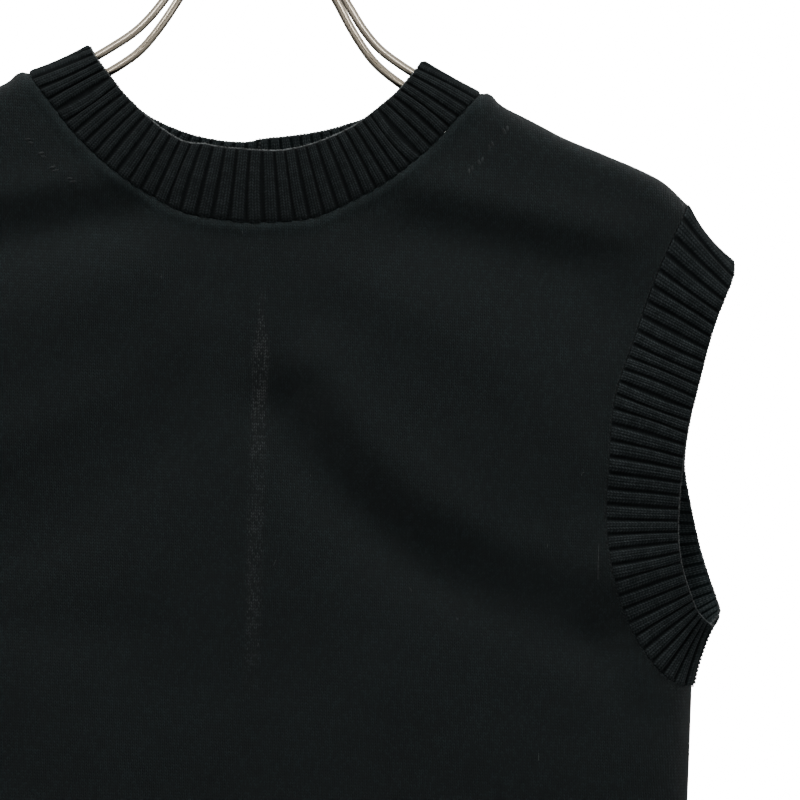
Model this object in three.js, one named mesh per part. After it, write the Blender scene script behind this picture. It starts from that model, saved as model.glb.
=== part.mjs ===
// A knitted sweater vest, hanging nearly flat on a double-wire hanger.
// Millimetres, +Z up. The front of the vest faces -Y, and left and right are as seen from the front.
// The origin is the inside top of the hook. Drops are measured down from the high point of the shoulder,
// and across is measured out from the centre line. The vest and hanger are the same on both sides.

import * as THREE from 'three';

// Driving dimensions
const hookToShoulder = 190;
const knitWall = 2;
const ribRise = 1;
const seamGap = 0.3;
const hemTop = 570;
const hemDepth = 60;
const neckRibs = 86;
const armRibs = 73;
const hemRibs = 128;
const wireRadius = 2.3;

// How far the cloth stands off the middle plane, front and back, and how its edges round away
const front = { name: 'front', way: -1, depth: [
  { drop: 0, off: 23 },
  { drop: 90, off: 25 },
  { drop: 330, off: 23 },
  { drop: 570, off: 17 },
] };
const back = { name: 'back', way: 1, depth: [
  { drop: 0, off: 19 },
  { drop: 90, off: 20 },
  { drop: 330, off: 19 },
  { drop: 570, off: 15 },
] };
const shoulderRound = { radius: 14, power: 3 };
const sideRound = { radius: 45, power: 2.2 };

// Outlines, as seen from the front
const shoulderLine = [
  { across: 121.7, drop: 16.6 },
  { across: 163.6, drop: 36.6 },
  { across: 188.9, drop: 45.2 },
  { across: 219.2, drop: 57.9 },
  { across: 236.1, drop: 72 },
];
const sideLine = [
  { drop: 330, across: 250.5 },
  { drop: 390, across: 251 },
  { drop: 450, across: 251 },
  { drop: 570, across: 247 },
];
front.neckSeam = [
  { across: 0, drop: 91.9 },
  { across: 34, drop: 87.9 },
  { across: 52, drop: 79.6 },
  { across: 72.7, drop: 67 },
  { across: 95, drop: 48 },
  { across: 109, drop: 31.5 },
  { across: 121.7, drop: 16.6 },
];
back.neckSeam = [
  { across: 0, drop: 85 },
  { across: 34, drop: 81 },
  { across: 53, drop: 73.5 },
  { across: 73.5, drop: 61.5 },
  { across: 95.5, drop: 44.5 },
  { across: 109.5, drop: 30 },
  { across: 121.7, drop: 16.6 },
];
front.armSeam = [
  { across: 250.5, drop: 330 },
  { across: 240.5, drop: 328 },
  { across: 227.3, drop: 317 },
  { across: 210.2, drop: 288.7 },
  { across: 200.3, drop: 250 },
  { across: 199.4, drop: 215 },
  { across: 201.4, drop: 175.5 },
  { across: 209.3, drop: 147.4 },
  { across: 222.1, drop: 105.8 },
  { across: 236.1, drop: 72 },
];
back.armSeam = [
  { across: 250.5, drop: 330 },
  { across: 241.5, drop: 328 },
  { across: 229.5, drop: 317 },
  { across: 213, drop: 288.7 },
  { across: 203, drop: 250 },
  { across: 201, drop: 215 },
  { across: 202.5, drop: 175.5 },
  { across: 210, drop: 147.4 },
  { across: 222.5, drop: 105.8 },
  { across: 236.1, drop: 72 },
];

// Free edges of the bands, with their distance off the middle plane
front.neckEdge = [
  { across: 91, drop: 0, off: 0 },
  { across: 90.4, drop: 1, off: 9 },
  { across: 86, drop: 6.2, off: 15 },
  { across: 77, drop: 16.2, off: 18 },
  { across: 65.4, drop: 27.8, off: 19 },
  { across: 54.2, drop: 37.8, off: 20 },
  { across: 38, drop: 46, off: 21 },
  { across: 19, drop: 51.4, off: 21 },
  { across: 0, drop: 52.3, off: 21 },
];
back.neckEdge = [
  { across: 91, drop: 0, off: 0 },
  { across: 90.6, drop: 1, off: 8 },
  { across: 86.5, drop: 5.5, off: 13 },
  { across: 77, drop: 15, off: 15 },
  { across: 65, drop: 25, off: 16 },
  { across: 53.5, drop: 33.2, off: 17 },
  { across: 37, drop: 40, off: 17 },
  { across: 19, drop: 44, off: 17 },
  { across: 0, drop: 45, off: 17 },
];
front.armEdge = [
  { across: 262.2, drop: 99.5, off: 0 },
  { across: 261.7, drop: 107.8, off: 11 },
  { across: 257.2, drop: 120.5, off: 15 },
  { across: 250.3, drop: 139, off: 17 },
  { across: 243.7, drop: 172, off: 18 },
  { across: 239.4, drop: 210, off: 18 },
  { across: 238.7, drop: 247.6, off: 17 },
  { across: 241.8, drop: 265.8, off: 15 },
  { across: 246.4, drop: 278.5, off: 12 },
  { across: 251.5, drop: 289.5, off: 8 },
  { across: 259.5, drop: 297, off: 0 },
];
back.armEdge = [
  { across: 262.2, drop: 99.5, off: 0 },
  { across: 262, drop: 107, off: 9 },
  { across: 258, drop: 120.5, off: 13 },
  { across: 251.5, drop: 139, off: 15 },
  { across: 245, drop: 172, off: 16 },
  { across: 243, drop: 208, off: 16 },
  { across: 251, drop: 247.6, off: 15 },
  { across: 257.7, drop: 268.5, off: 13 },
  { across: 262.4, drop: 282.5, off: 10 },
  { across: 264.4, drop: 290, off: 6 },
  { across: 259.5, drop: 297, off: 0 },
];

// Soft folds: a curve from one point by way of a second to a third, its half width, and its rise.
// A rise above zero stands proud, one below is a trough. Minus across is the left side.
front.folds = [
  { from: [78, 84], by: [122, 78], to: [184, 86], width: 20, rise: -4.5 },
  { from: [-72, 90], by: [-112, 76], to: [-178, 84], width: 22, rise: -4 },
  { from: [50, 112], by: [148, 140], to: [196, 206], width: 24, rise: 4 },
  { from: [-60, 116], by: [-140, 150], to: [-190, 214], width: 26, rise: 3.5 },
  { from: [34, 168], by: [82, 250], to: [150, 250], width: 26, rise: -4.5 },
  { from: [140, 250], by: [182, 254], to: [196, 300], width: 20, rise: -3 },
  { from: [-46, 190], by: [-96, 262], to: [-168, 262], width: 28, rise: -4 },
  { from: [192, 248], by: [204, 268], to: [216, 292], width: 10, rise: 2 },
  { from: [-90, 330], by: [-70, 430], to: [-96, 560], width: 34, rise: 3.5 },
  { from: [60, 360], by: [84, 450], to: [70, 562], width: 36, rise: 3 },
];
back.folds = [
  { from: [70, 88], by: [118, 74], to: [180, 84], width: 22, rise: -4 },
  { from: [-76, 86], by: [-120, 78], to: [-182, 88], width: 20, rise: -4.5 },
  { from: [-44, 120], by: [-140, 140], to: [-194, 212], width: 26, rise: 3.5 },
  { from: [56, 122], by: [132, 152], to: [188, 220], width: 24, rise: 3 },
  { from: [-30, 180], by: [-90, 252], to: [-170, 258], width: 28, rise: -4 },
  { from: [40, 196], by: [100, 270], to: [176, 272], width: 26, rise: -3.5 },
  { from: [20, 350], by: [-10, 440], to: [26, 560], width: 40, rise: 3.5 },
];

// Rows and columns of a panel, closer where the cloth turns over the shoulder and round the side.
// Rows go from the hem rib at 0 to the shoulder at 1, columns from the centre at 0 to the side at 1.
const underarmRow = 0.3;
const neckColumn = 0.534;
const panelRows = [0, 0.075, 0.15, 0.225, 0.3, 0.3105, 0.3315, 0.37, 0.42, 0.49, 0.57, 0.65, 0.73, 0.81,
  0.87, 0.925, 0.967, 0.9845, 0.9932, 0.9982, 1];
const halfColumns = [0, 0.12, 0.24, 0.35, 0.43, 0.483, 0.51, 0.5235, 0.5315, 0.534, 0.63, 0.73, 0.82, 0.892,
  0.944, 0.978, 1];

// Materials
const knit = new THREE.MeshStandardMaterial({ color: 0x16191b, roughness: 0.95, metalness: 0 });
const rib = new THREE.MeshStandardMaterial({ color: 0x1a1d1f, roughness: 0.95, metalness: 0 });
const nickel = new THREE.MeshStandardMaterial({ color: 0xb8ada0, roughness: 0.3, metalness: 1 });

const vest = new THREE.Group();

function place(across, off, drop) {
  return new THREE.Vector3(across, off, -hookToShoulder - drop);
}

// A smooth curve through a table's rows, as a function of one of its columns
function readTable(rows, key, at, wanted) {
  const last = rows.length - 1;
  const way = Math.sign(rows[last][key] - rows[0][key]);
  const i = rows.slice(1, last).filter((row) => way * (at - row[key]) > 0).length;
  const slope = (k) => {
    const lower = rows[Math.max(k - 1, 0)];
    const upper = rows[Math.min(k + 1, last)];
    return (upper[wanted] - lower[wanted]) / (upper[key] - lower[key]);
  };
  const span = rows[i + 1][key] - rows[i][key];
  const t = (at - rows[i][key]) / span;
  if (t < 0) return rows[i][wanted] + slope(i) * t * span;
  if (t > 1) return rows[i + 1][wanted] + slope(i + 1) * (t - 1) * span;
  const rise = t * t * (3 - 2 * t);
  const lead = slope(i) * span * (t * t * t - 2 * t * t + t);
  const tail = slope(i + 1) * span * (t * t * t - t * t);
  return rows[i][wanted] * (1 - rise) + rows[i + 1][wanted] * rise + lead + tail;
}

// 0 at an edge and 1 one radius in from it, along a rounded corner
function roundedEdge(distance, { radius, power }) {
  const left = THREE.MathUtils.clamp(1 - distance / radius, 0, 1);
  return Math.pow(1 - Math.pow(left, power), 1 / power);
}

function shoulderDrop(across) {
  return readTable(shoulderLine, 'across', Math.abs(across), 'drop');
}

function belowShoulder(across, drop) {
  const step = 1;
  const out = Math.max(Math.abs(across), shoulderLine[0].across);
  const slope = (shoulderDrop(out + step) - shoulderDrop(out)) / step;
  return (drop - shoulderDrop(across)) / Math.hypot(1, slope);
}

function sideAcross(drop) {
  return drop <= sideLine[0].drop ? sideLine[0].across : readTable(sideLine, 'drop', drop, 'across');
}

function foldRise(folds, across, drop) {
  const samples = 14;
  let sum = 0;
  for (const { from, by, to, width, rise } of folds) {
    let nearest = Infinity;
    for (let k = 0; k <= samples; k++) {
      const t = k / samples;
      const x = (1 - t) ** 2 * from[0] + 2 * t * (1 - t) * by[0] + t * t * to[0];
      const y = (1 - t) ** 2 * from[1] + 2 * t * (1 - t) * by[1] + t * t * to[1];
      nearest = Math.min(nearest, Math.hypot(across - x, drop - y));
    }
    sum += rise * Math.exp(-((nearest / width) ** 2));
  }
  return sum;
}

// How far the outside of a panel stands off the middle plane
function clothOff(face, across, drop) {
  const overShoulder = roundedEdge(belowShoulder(across, drop), shoulderRound);
  const roundSide = roundedEdge(sideAcross(drop) - Math.abs(across), sideRound);
  const flat = readTable(face.depth, 'drop', drop, 'off') + foldRise(face.folds, across, drop);
  return flat * overShoulder * roundSide;
}

// A point on the outside of a panel with its outward direction. On the seams between the panels, where the
// cloth turns over, that direction lies in the middle plane.
function clothPoint(face, across, drop) {
  const step = 0.25;
  const off = clothOff(face, across, drop);
  const alongX = (clothOff(face, across + step, drop) - clothOff(face, across - step, drop)) / (2 * step);
  const downward = (clothOff(face, across, drop + step) - clothOff(face, across, drop - step)) / (2 * step);
  const onSeam = off < seamGap;
  const normal = new THREE.Vector3(-alongX, onSeam ? 0 : face.way, downward).normalize();
  return { point: place(across, face.way * Math.max(off, seamGap / 2), drop), normal };
}

// A curve through a table's rows, read by its share of the length
function pathThrough(rows) {
  const points = rows.map(({ across, drop, off = 0 }) => new THREE.Vector3(across, off, drop));
  return new THREE.CatmullRomCurve3(points, false, 'centripetal');
}

// One closed solid from corner points and triangles, turned so that its faces point out
function closedSolid(name, corners, triangles, material) {
  let volume = 0;
  for (const [a, b, c] of triangles) {
    volume += corners[a].dot(new THREE.Vector3().crossVectors(corners[b], corners[c]));
  }
  const turned = volume > 0 ? triangles : triangles.map(([a, b, c]) => [a, c, b]);
  const geometry = new THREE.BufferGeometry();
  const numbers = corners.flatMap((p) => p.toArray());
  geometry.setAttribute('position', new THREE.Float32BufferAttribute(numbers, 3));
  geometry.setIndex(turned.flat());
  geometry.computeVertexNormals();
  const mesh = new THREE.Mesh(geometry, material);
  mesh.name = name;
  return mesh;
}

// The outside of a panel as rows of points: its four edges blended across the middle
function panelSheet(face) {
  const neck = pathThrough(face.neckSeam);
  const armhole = pathThrough(face.armSeam);
  const tip = shoulderLine.at(-1);
  const topEdge = (u) => {
    if (u <= neckColumn) return neck.getPointAt(u / neckColumn);
    const share = (u - neckColumn) / (1 - neckColumn);
    const across = THREE.MathUtils.lerp(shoulderLine[0].across, tip.across, share);
    return new THREE.Vector3(across, 0, shoulderDrop(across));
  };
  const sideEdge = (v) => {
    if (v >= underarmRow) return armhole.getPointAt((v - underarmRow) / (1 - underarmRow));
    const drop = THREE.MathUtils.lerp(hemTop, sideLine[0].drop, v / underarmRow);
    return new THREE.Vector3(sideAcross(drop), 0, drop);
  };
  const hemEdge = (u) => new THREE.Vector3(u * sideAcross(hemTop), 0, hemTop);
  const middle = (v) => new THREE.Vector3(0, 0, THREE.MathUtils.lerp(hemTop, face.neckSeam[0].drop, v));
  const blend = (u, v) => new THREE.Vector3()
    .addScaledVector(hemEdge(u), 1 - v)
    .addScaledVector(topEdge(u), v)
    .addScaledVector(middle(v), 1 - u)
    .addScaledVector(sideEdge(v), u)
    .addScaledVector(middle(0), -(1 - u) * (1 - v))
    .addScaledVector(hemEdge(1), -u * (1 - v))
    .addScaledVector(middle(1), -(1 - u) * v)
    .addScaledVector(topEdge(1), -u * v);
  const columns = [...halfColumns.slice(1).reverse().map((u) => -u), ...halfColumns];
  return panelRows.map((v) => columns.map((u) => {
    const flat = blend(Math.abs(u), v);
    return clothPoint(face, Math.sign(u) * flat.x, flat.z);
  }));
}

function panel(face) {
  const points = face.sheet.flat();
  const outside = points.map(({ point }) => point);
  const inside = points.map(({ point, normal }) => point.clone().addScaledVector(normal, -knitWall));
  const rows = face.sheet.length;
  const columns = face.sheet[0].length;
  const at = (r, c) => r * columns + c;
  const count = rows * columns;
  const triangles = [];
  for (let r = 0; r < rows - 1; r++) {
    for (let c = 0; c < columns - 1; c++) {
      const [a, b, d, e] = [at(r, c), at(r, c + 1), at(r + 1, c), at(r + 1, c + 1)];
      const pair = c < columns / 2 - 1 ? [[a, b, d], [b, e, d]] : [[a, b, e], [a, e, d]];
      for (const [i, j, k] of pair) triangles.push([i, j, k], [i + count, k + count, j + count]);
    }
  }
  const rim = [];
  for (let c = 0; c < columns - 1; c++) rim.push(at(0, c));
  for (let r = 0; r < rows - 1; r++) rim.push(at(r, columns - 1));
  for (let c = columns - 1; c > 0; c--) rim.push(at(rows - 1, c));
  for (let r = rows - 1; r > 0; r--) rim.push(at(r, 0));
  rim.forEach((a, k) => {
    const b = rim[(k + 1) % rim.length];
    if (a % columns < columns / 2 - 1) triangles.push([a, a + count, b], [b, a + count, b + count]);
    else triangles.push([a, a + count, b + count], [a, b + count, b]);
  });
  vest.add(closedSolid(`${face.name}_panel`, [...outside, ...inside], triangles, knit));
}

// Reads a chain of points by its share of the length
function readChain(chain, share) {
  const lengths = [0];
  for (let k = 1; k < chain.length; k++) {
    lengths.push(lengths[k - 1] + chain[k].point.distanceTo(chain[k - 1].point));
  }
  const wanted = share * lengths.at(-1);
  const k = 1 + lengths.slice(1, -1).filter((length) => length < wanted).length;
  const t = (wanted - lengths[k - 1]) / (lengths[k] - lengths[k - 1]);
  return {
    point: chain[k - 1].point.clone().lerp(chain[k].point, t),
    normal: chain[k - 1].normal.clone().lerp(chain[k].normal, t).normalize(),
  };
}

// A loop is a list of stretches, each taking an equal part of the turn
function readLoop(stretches, turn) {
  const scaled = (((turn % 1) + 1) % 1) * stretches.length;
  const index = Math.min(Math.floor(scaled), stretches.length - 1);
  return stretches[index](scaled - index);
}

// A closed band of rib knit between a seam and a free edge. Ribs stand proud outside; the inside is plain.
// At the seam the band stands clear of the panels where the cloth twists or the edge bulges between corners.
function ribBand({ name, seam, edge, ribs }) {
  const profile = [{ at: 0, rise: 0 }, { at: 0.26, rise: ribRise }, { at: 0.74, rise: ribRise }];
  const levels = [0, 1];
  const twistShare = 0.25;
  const samples = [0.2, 0.4, 0.6, 0.8];
  const turns = [...Array(ribs).keys()].flatMap((k) => profile.map(({ at }) => (k + at) / ribs));
  const step = 0.5 / ribs;
  const seamAt = (turn) => {
    const here = readLoop(seam, turn);
    const along = readLoop(seam, turn + step).point.sub(readLoop(seam, turn - step).point).normalize();
    const away = readLoop(edge, turn).sub(here.point);
    away.addScaledVector(along, -away.dot(along)).addScaledVector(here.normal, -away.dot(here.normal));
    return { point: here.point, normal: here.normal, away: away.normalize(), clear: seamGap };
  };
  const edgeAt = (turn, seamNormal) => {
    const point = readLoop(edge, turn);
    const along = readLoop(edge, turn + step).sub(readLoop(edge, turn - step));
    const normal = along.cross(readLoop(seam, turn).point.sub(point)).normalize();
    if (normal.dot(seamNormal) < 0) normal.negate();
    return { point, normal };
  };
  const starts = turns.map(seamAt);
  const around = (k) => starts[(k + starts.length) % starts.length];
  starts.forEach((start, k) => {
    const next = around(k + 1);
    const nextTurn = turns[k + 1] ?? 1;
    const twist = twistShare * knitWall * around(k - 2).normal.distanceTo(around(k + 3).normal);
    for (const share of samples) {
      const between = readLoop(seam, THREE.MathUtils.lerp(turns[k], nextTurn, share)).point;
      between.sub(start.point.clone().lerp(next.point, share));
      start.clear = Math.max(start.clear, seamGap + twist + between.dot(start.away));
      next.clear = Math.max(next.clear, seamGap + twist + between.dot(next.away));
    }
  });
  starts.forEach(({ point, away, clear }) => point.addScaledVector(away, clear));
  const corners = [];
  const add = (point) => corners.push(point) - 1;
  const outside = levels.map(() => []);
  const inside = levels.map(() => []);
  starts.forEach((start, k) => {
    const { at, rise } = profile[k % profile.length];
    const end = edgeAt(turns[k], start.normal);
    levels.forEach((level, row) => {
      const point = start.point.clone().lerp(end.point, level);
      const normal = start.normal.clone().lerp(end.normal, level).normalize();
      outside[row].push(add(point.clone().addScaledVector(normal, rise)));
      if (at === 0) inside[row].push(add(point.clone().addScaledVector(normal, -knitWall)));
    });
  });
  const triangles = [];
  const quad = (a, b, c, d) => triangles.push([a, b, c], [a, c, d]);
  for (let row = 0; row < levels.length - 1; row++) {
    const [low, high] = [outside[row], outside[row + 1]];
    low.forEach((a, k) => quad(a, low[(k + 1) % low.length], high[(k + 1) % low.length], high[k]));
    const [lowIn, highIn] = [inside[row], inside[row + 1]];
    lowIn.forEach((a, k) => quad(a, highIn[k], highIn[(k + 1) % ribs], lowIn[(k + 1) % ribs]));
  }
  const closeEdge = (outer, inner, flipped) => {
    for (let k = 0; k < ribs; k++) {
      const [valley, left, right] = outer.slice(3 * k, 3 * k + 3);
      const nextValley = outer[(3 * k + 3) % outer.length];
      const [under, nextUnder] = [inner[k], inner[(k + 1) % ribs]];
      const faces = [[valley, under, left], [left, under, right], [right, under, nextUnder],
        [right, nextUnder, nextValley]];
      triangles.push(...faces.map(([a, b, c]) => (flipped ? [a, c, b] : [a, b, c])));
    }
  };
  closeEdge(outside[0], inside[0], false);
  closeEdge(outside.at(-1), inside.at(-1), true);
  vest.add(closedSolid(name, corners, triangles, rib));
}

// Edge loops of the panels. Each starts at the right shoulder and runs down the front first.
const centreColumn = halfColumns.length - 1;
const neckOut = halfColumns.indexOf(neckColumn);
const lastRow = panelRows.length - 1;
const underarm = panelRows.indexOf(underarmRow);

function mirrored(point) {
  return new THREE.Vector3(-point.x, point.y, point.z);
}

function neckChain(face, side) {
  const columns = [...Array(neckOut + 1).keys()].reverse();
  return columns.map((k) => face.sheet[lastRow][centreColumn + side * k]);
}

function armChain(face, side) {
  const rows = [...Array(lastRow - underarm + 1).keys()].map((k) => lastRow - k);
  return rows.map((r) => face.sheet[r][centreColumn + side * centreColumn]);
}

function hemChain(face, side) {
  const columns = [...Array(centreColumn + 1).keys()];
  return columns.map((k) => face.sheet[0][centreColumn + side * k]);
}

// The two panels stand a seam gap apart at their seams, so there a loop's first and last points are
// brought to the middle plane.
function joined(chain, atStart, atEnd) {
  return chain.map(({ point, normal }, k) => {
    const onSeam = (atStart && k === 0) || (atEnd && k === chain.length - 1);
    return { point: onSeam ? new THREE.Vector3(point.x, 0, point.z) : point, normal };
  });
}

function alongChain(chain) {
  return (share) => readChain(chain, share);
}

function backwards(stretch) {
  return (share) => stretch(1 - share);
}

function edgeCurve(face, rows, side) {
  const curve = pathThrough(rows);
  return (share) => {
    const p = curve.getPointAt(share);
    return place(side * p.x, face.way * p.y, p.z);
  };
}

function neckBand() {
  const quarter = (face, side) => alongChain(joined(neckChain(face, side), true, false));
  const edgeQuarter = (face, side) => edgeCurve(face, face.neckEdge, side);
  const loop = (of) => [of(front, 1), backwards(of(front, -1)), of(back, -1), backwards(of(back, 1))];
  ribBand({ name: 'neck_band', seam: loop(quarter), edge: loop(edgeQuarter), ribs: neckRibs });
}

function armband(name, side) {
  const half = (face) => alongChain(joined(armChain(face, side), true, true));
  ribBand({
    name,
    seam: [half(front), backwards(half(back))],
    edge: [edgeCurve(front, front.armEdge, side), backwards(edgeCurve(back, back.armEdge, side))],
    ribs: armRibs,
  });
}

// The hem rib draws in a little towards its lower edge
function hemBand() {
  const drawIn = { across: 0.975, off: 0.88 };
  const quarter = (face, side) => alongChain(joined(hemChain(face, side), false, true));
  const loop = (of) => [backwards(of(front, 1)), of(front, -1), backwards(of(back, -1)), of(back, 1)];
  const seam = loop(quarter);
  const edge = seam.map((stretch) => (share) => {
    const { point } = stretch(share);
    return new THREE.Vector3(point.x * drawIn.across, point.y * drawIn.off, point.z - hemDepth);
  });
  ribBand({ name: 'hem_band', seam, edge, ribs: hemRibs });
}

// Hanger. The front run of each arm is the higher one; the cloth of the shoulder rests on it.
const collar = { radius: 7.5, height: 14, bottomDrop: -104, wireSpacing: 2.7, straight: 5 };
const frontRun = [
  { across: 7.5, drop: -93, off: -3.2 },
  { across: 14.5, drop: -80, off: -3.8 },
  { across: 25, drop: -64, off: -4.4 },
  { across: 37.5, drop: -45.5, off: -5 },
  { across: 50, drop: -27, off: -5.6 },
  { across: 57.5, drop: -16.4, off: -6 },
  { across: 66, drop: -7.3, off: -6 },
  { across: 78, drop: 1.3, off: -6 },
  { across: 92, drop: 9.5, off: -6 },
  { across: 118, drop: 21.5, off: -6 },
];
const backRun = [
  { across: 6, drop: -93, off: 3.6 },
  { across: 11, drop: -80.5, off: 5 },
  { across: 20, drop: -66, off: 6.5 },
  { across: 31.5, drop: -48, off: 8 },
  { across: 43.5, drop: -28.6, off: 9.5 },
  { across: 50, drop: -17.6, off: 9.5 },
  { across: 57.5, drop: -6.6, off: 9.5 },
  { across: 62, drop: -1.1, off: 9.5 },
  { across: 67, drop: 3.7, off: 9.5 },
  { across: 78, drop: 11.6, off: 9.5 },
  { across: 92, drop: 19.3, off: 9.8 },
  { across: 112, drop: 28.5, off: 10.5 },
];
const armEnd = {
  seatFrom: 150, seatTo: 204, reach: 214, seatClear: 1.1, frontOff: -6, backOff: 12, backLower: 8.5,
};

// A point under the shoulder line, square in from its outside by a given depth
function underShoulder(across, depth, off) {
  const step = 1;
  const slope = (shoulderDrop(across + step) - shoulderDrop(across - step)) / (2 * step);
  const length = Math.hypot(1, slope);
  return place(across - (depth * slope) / length, off, shoulderDrop(across) + depth / length);
}

function wire(name, points, steps) {
  const sides = 8;
  const round = [...Array(sides).keys()].map((k) => {
    const angle = (2 * Math.PI * k) / sides;
    return new THREE.Vector2(wireRadius * Math.cos(angle), wireRadius * Math.sin(angle));
  });
  const path = new THREE.CatmullRomCurve3(points, false, 'centripetal');
  const geometry = new THREE.ExtrudeGeometry(new THREE.Shape(round), { steps, extrudePath: path });
  const mesh = new THREE.Mesh(geometry, nickel);
  mesh.name = name;
  vest.add(mesh);
}

function hangerArm(name, side) {
  const seat = knitWall + armEnd.seatClear + wireRadius;
  const run = (rows) => rows.map(({ across, drop, off }) => place(across, off, drop));
  const { wireSpacing, bottomDrop, straight } = collar;
  const ends = (way) => [seamGap, straight].map((below) => (
    place(wireSpacing, way * wireSpacing, bottomDrop + below)
  ));
  const seats = [armEnd.seatFrom, (armEnd.seatFrom + armEnd.seatTo) / 2, armEnd.seatTo];
  const higher = seats.map((across) => underShoulder(across, seat, armEnd.frontOff));
  const lower = seats.map((across) => underShoulder(across, seat + armEnd.backLower, armEnd.backOff));
  const turn = [0.25, 0.5, 0.75].map((share) => {
    const angle = Math.PI * share;
    const depth = seat + armEnd.backLower * (1 - Math.cos(angle)) / 2;
    const off = THREE.MathUtils.lerp(armEnd.frontOff, armEnd.backOff, (1 - Math.cos(angle)) / 2);
    const across = armEnd.seatTo + (armEnd.reach - armEnd.seatTo) * Math.sin(angle);
    return underShoulder(across, depth, off);
  });
  const points = [...ends(-1), ...run(frontRun), ...higher, ...turn, ...lower.reverse(),
    ...run(backRun).reverse(), ...ends(1).reverse()];
  wire(name, points.map((p) => (side > 0 ? p : mirrored(p))), 72);
}

function hangerCollar() {
  const { radius, height, bottomDrop } = collar;
  const chamfer = 1.5;
  const profile = [
    [0, 0],
    [radius - chamfer, 0],
    [radius, chamfer],
    [radius, height - chamfer],
    [radius - chamfer, height],
    [0, height],
  ].map(([r, z]) => new THREE.Vector2(r, z));
  const geometry = new THREE.LatheGeometry(profile, 20);
  geometry.rotateX(Math.PI / 2);
  const mesh = new THREE.Mesh(geometry, nickel);
  mesh.name = 'hanger_collar';
  mesh.position.copy(place(0, 0, bottomDrop));
  vest.add(mesh);
}

// The hook goes from its tip over the top and back in to the stem above the collar
function hangerHook() {
  const bend = { radius: 26, from: 205, to: -40, step: 17.5 };
  const centreLine = bend.radius + wireRadius;
  const points = [];
  for (let angle = bend.from; angle >= bend.to; angle -= bend.step) {
    const a = THREE.MathUtils.degToRad(angle);
    points.push(new THREE.Vector3(centreLine * Math.cos(a), 0, centreLine * Math.sin(a) - bend.radius));
  }
  const stemBottom = -hookToShoulder - collar.bottomDrop + collar.height + seamGap;
  points.push(new THREE.Vector3(9, 0, -58));
  points.push(new THREE.Vector3(2.2, 0, -65));
  points.push(new THREE.Vector3(0, 0, stemBottom + 2));
  points.push(new THREE.Vector3(0, 0, stemBottom));
  wire('hanger_hook', points, 34);
}

for (const face of [front, back]) {
  face.sheet = panelSheet(face);
  panel(face);
}
neckBand();
armband('armband_right', 1);
armband('armband_left', -1);
hemBand();
hangerArm('hanger_arm_right', 1);
hangerArm('hanger_arm_left', -1);
hangerCollar();
hangerHook();

export default vest;
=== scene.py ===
# A knitted sweater vest on a double-wire hanger: its looks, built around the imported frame.
import math

import bpy
import numpy as np
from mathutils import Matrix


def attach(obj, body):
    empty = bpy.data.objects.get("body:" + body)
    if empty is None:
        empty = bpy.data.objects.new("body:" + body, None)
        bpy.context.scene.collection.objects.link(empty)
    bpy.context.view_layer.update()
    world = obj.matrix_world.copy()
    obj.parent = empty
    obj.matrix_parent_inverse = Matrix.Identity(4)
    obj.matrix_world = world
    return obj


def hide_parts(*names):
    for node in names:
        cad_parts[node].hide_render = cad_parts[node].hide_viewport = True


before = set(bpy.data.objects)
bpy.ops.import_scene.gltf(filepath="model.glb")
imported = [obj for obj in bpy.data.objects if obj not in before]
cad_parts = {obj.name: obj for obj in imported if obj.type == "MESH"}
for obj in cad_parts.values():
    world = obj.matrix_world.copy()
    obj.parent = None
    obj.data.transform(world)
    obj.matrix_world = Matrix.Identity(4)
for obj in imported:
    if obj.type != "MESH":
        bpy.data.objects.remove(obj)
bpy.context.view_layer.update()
print("frame loaded,", len(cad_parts), "nodes")

# Every table is in millimetres: across from the centre line, off from the middle plane, and drop from the
# high point of the shoulder. place() turns them into metres in the frame. The front faces -Y.
mm = 0.001
hookToShoulder = 190

garment = dict(
    wall=2, seamGap=0.1, hemTop=570, hemDepth=60,
    underarmRow=0.3, neckColumn=0.534,
    shoulder=dict(radius=14, power=3), side=dict(radius=45, power=2.2),
    rowStep=0.0062, columnStep=0.0115,
)
yarn = dict(wale=2, course=1.65, ribRise=1.5)          # one stitch across, one down, and how proud a rib stands


def place(across, off, drop):
    return np.stack(np.broadcast_arrays(across, off, -hookToShoulder - np.asarray(drop, float)), -1) * mm


shoulderLine = dict(across=[121.7, 163.6, 188.9, 219.2, 236.1], drop=[16.6, 36.6, 45.2, 57.9, 72])
sideLine = dict(drop=[330, 390, 450, 570], across=[250.5, 251, 251, 247])

front = dict(
    name="front", way=-1,
    depth=dict(drop=[0, 90, 330, 570], off=[23, 25, 23, 17]),
    neckSeam=dict(
        across=[0, 34, 52, 72.7, 95, 109, 121.7],
        drop=[91.9, 87.9, 79.6, 67, 48, 31.5, 16.6],
    ),
    armSeam=dict(
        across=[250.5, 240.5, 227.3, 210.2, 200.3, 199.4, 201.4, 209.3, 222.1, 236.1],
        drop=[330, 328, 317, 288.7, 250, 215, 175.5, 147.4, 105.8, 72],
    ),
    neckEdge=dict(
        across=[91, 90.4, 86, 77, 65.4, 54.2, 38, 19, 0],
        drop=[0, 1, 6.2, 16.2, 27.8, 37.8, 46, 51.4, 52.3],
        off=[0, 9, 15, 18, 19, 20, 21, 21, 21],
    ),
    armEdge=dict(
        across=[262.2, 261.7, 257.2, 250.3, 243.7, 239.4, 238.7, 241.8, 246.4, 251.5, 259.5],
        drop=[99.5, 107.8, 120.5, 139, 172, 210, 247.6, 265.8, 278.5, 289.5, 297],
        off=[0, 11, 15, 17, 18, 18, 17, 15, 12, 8, 0],
    ),
)
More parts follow.
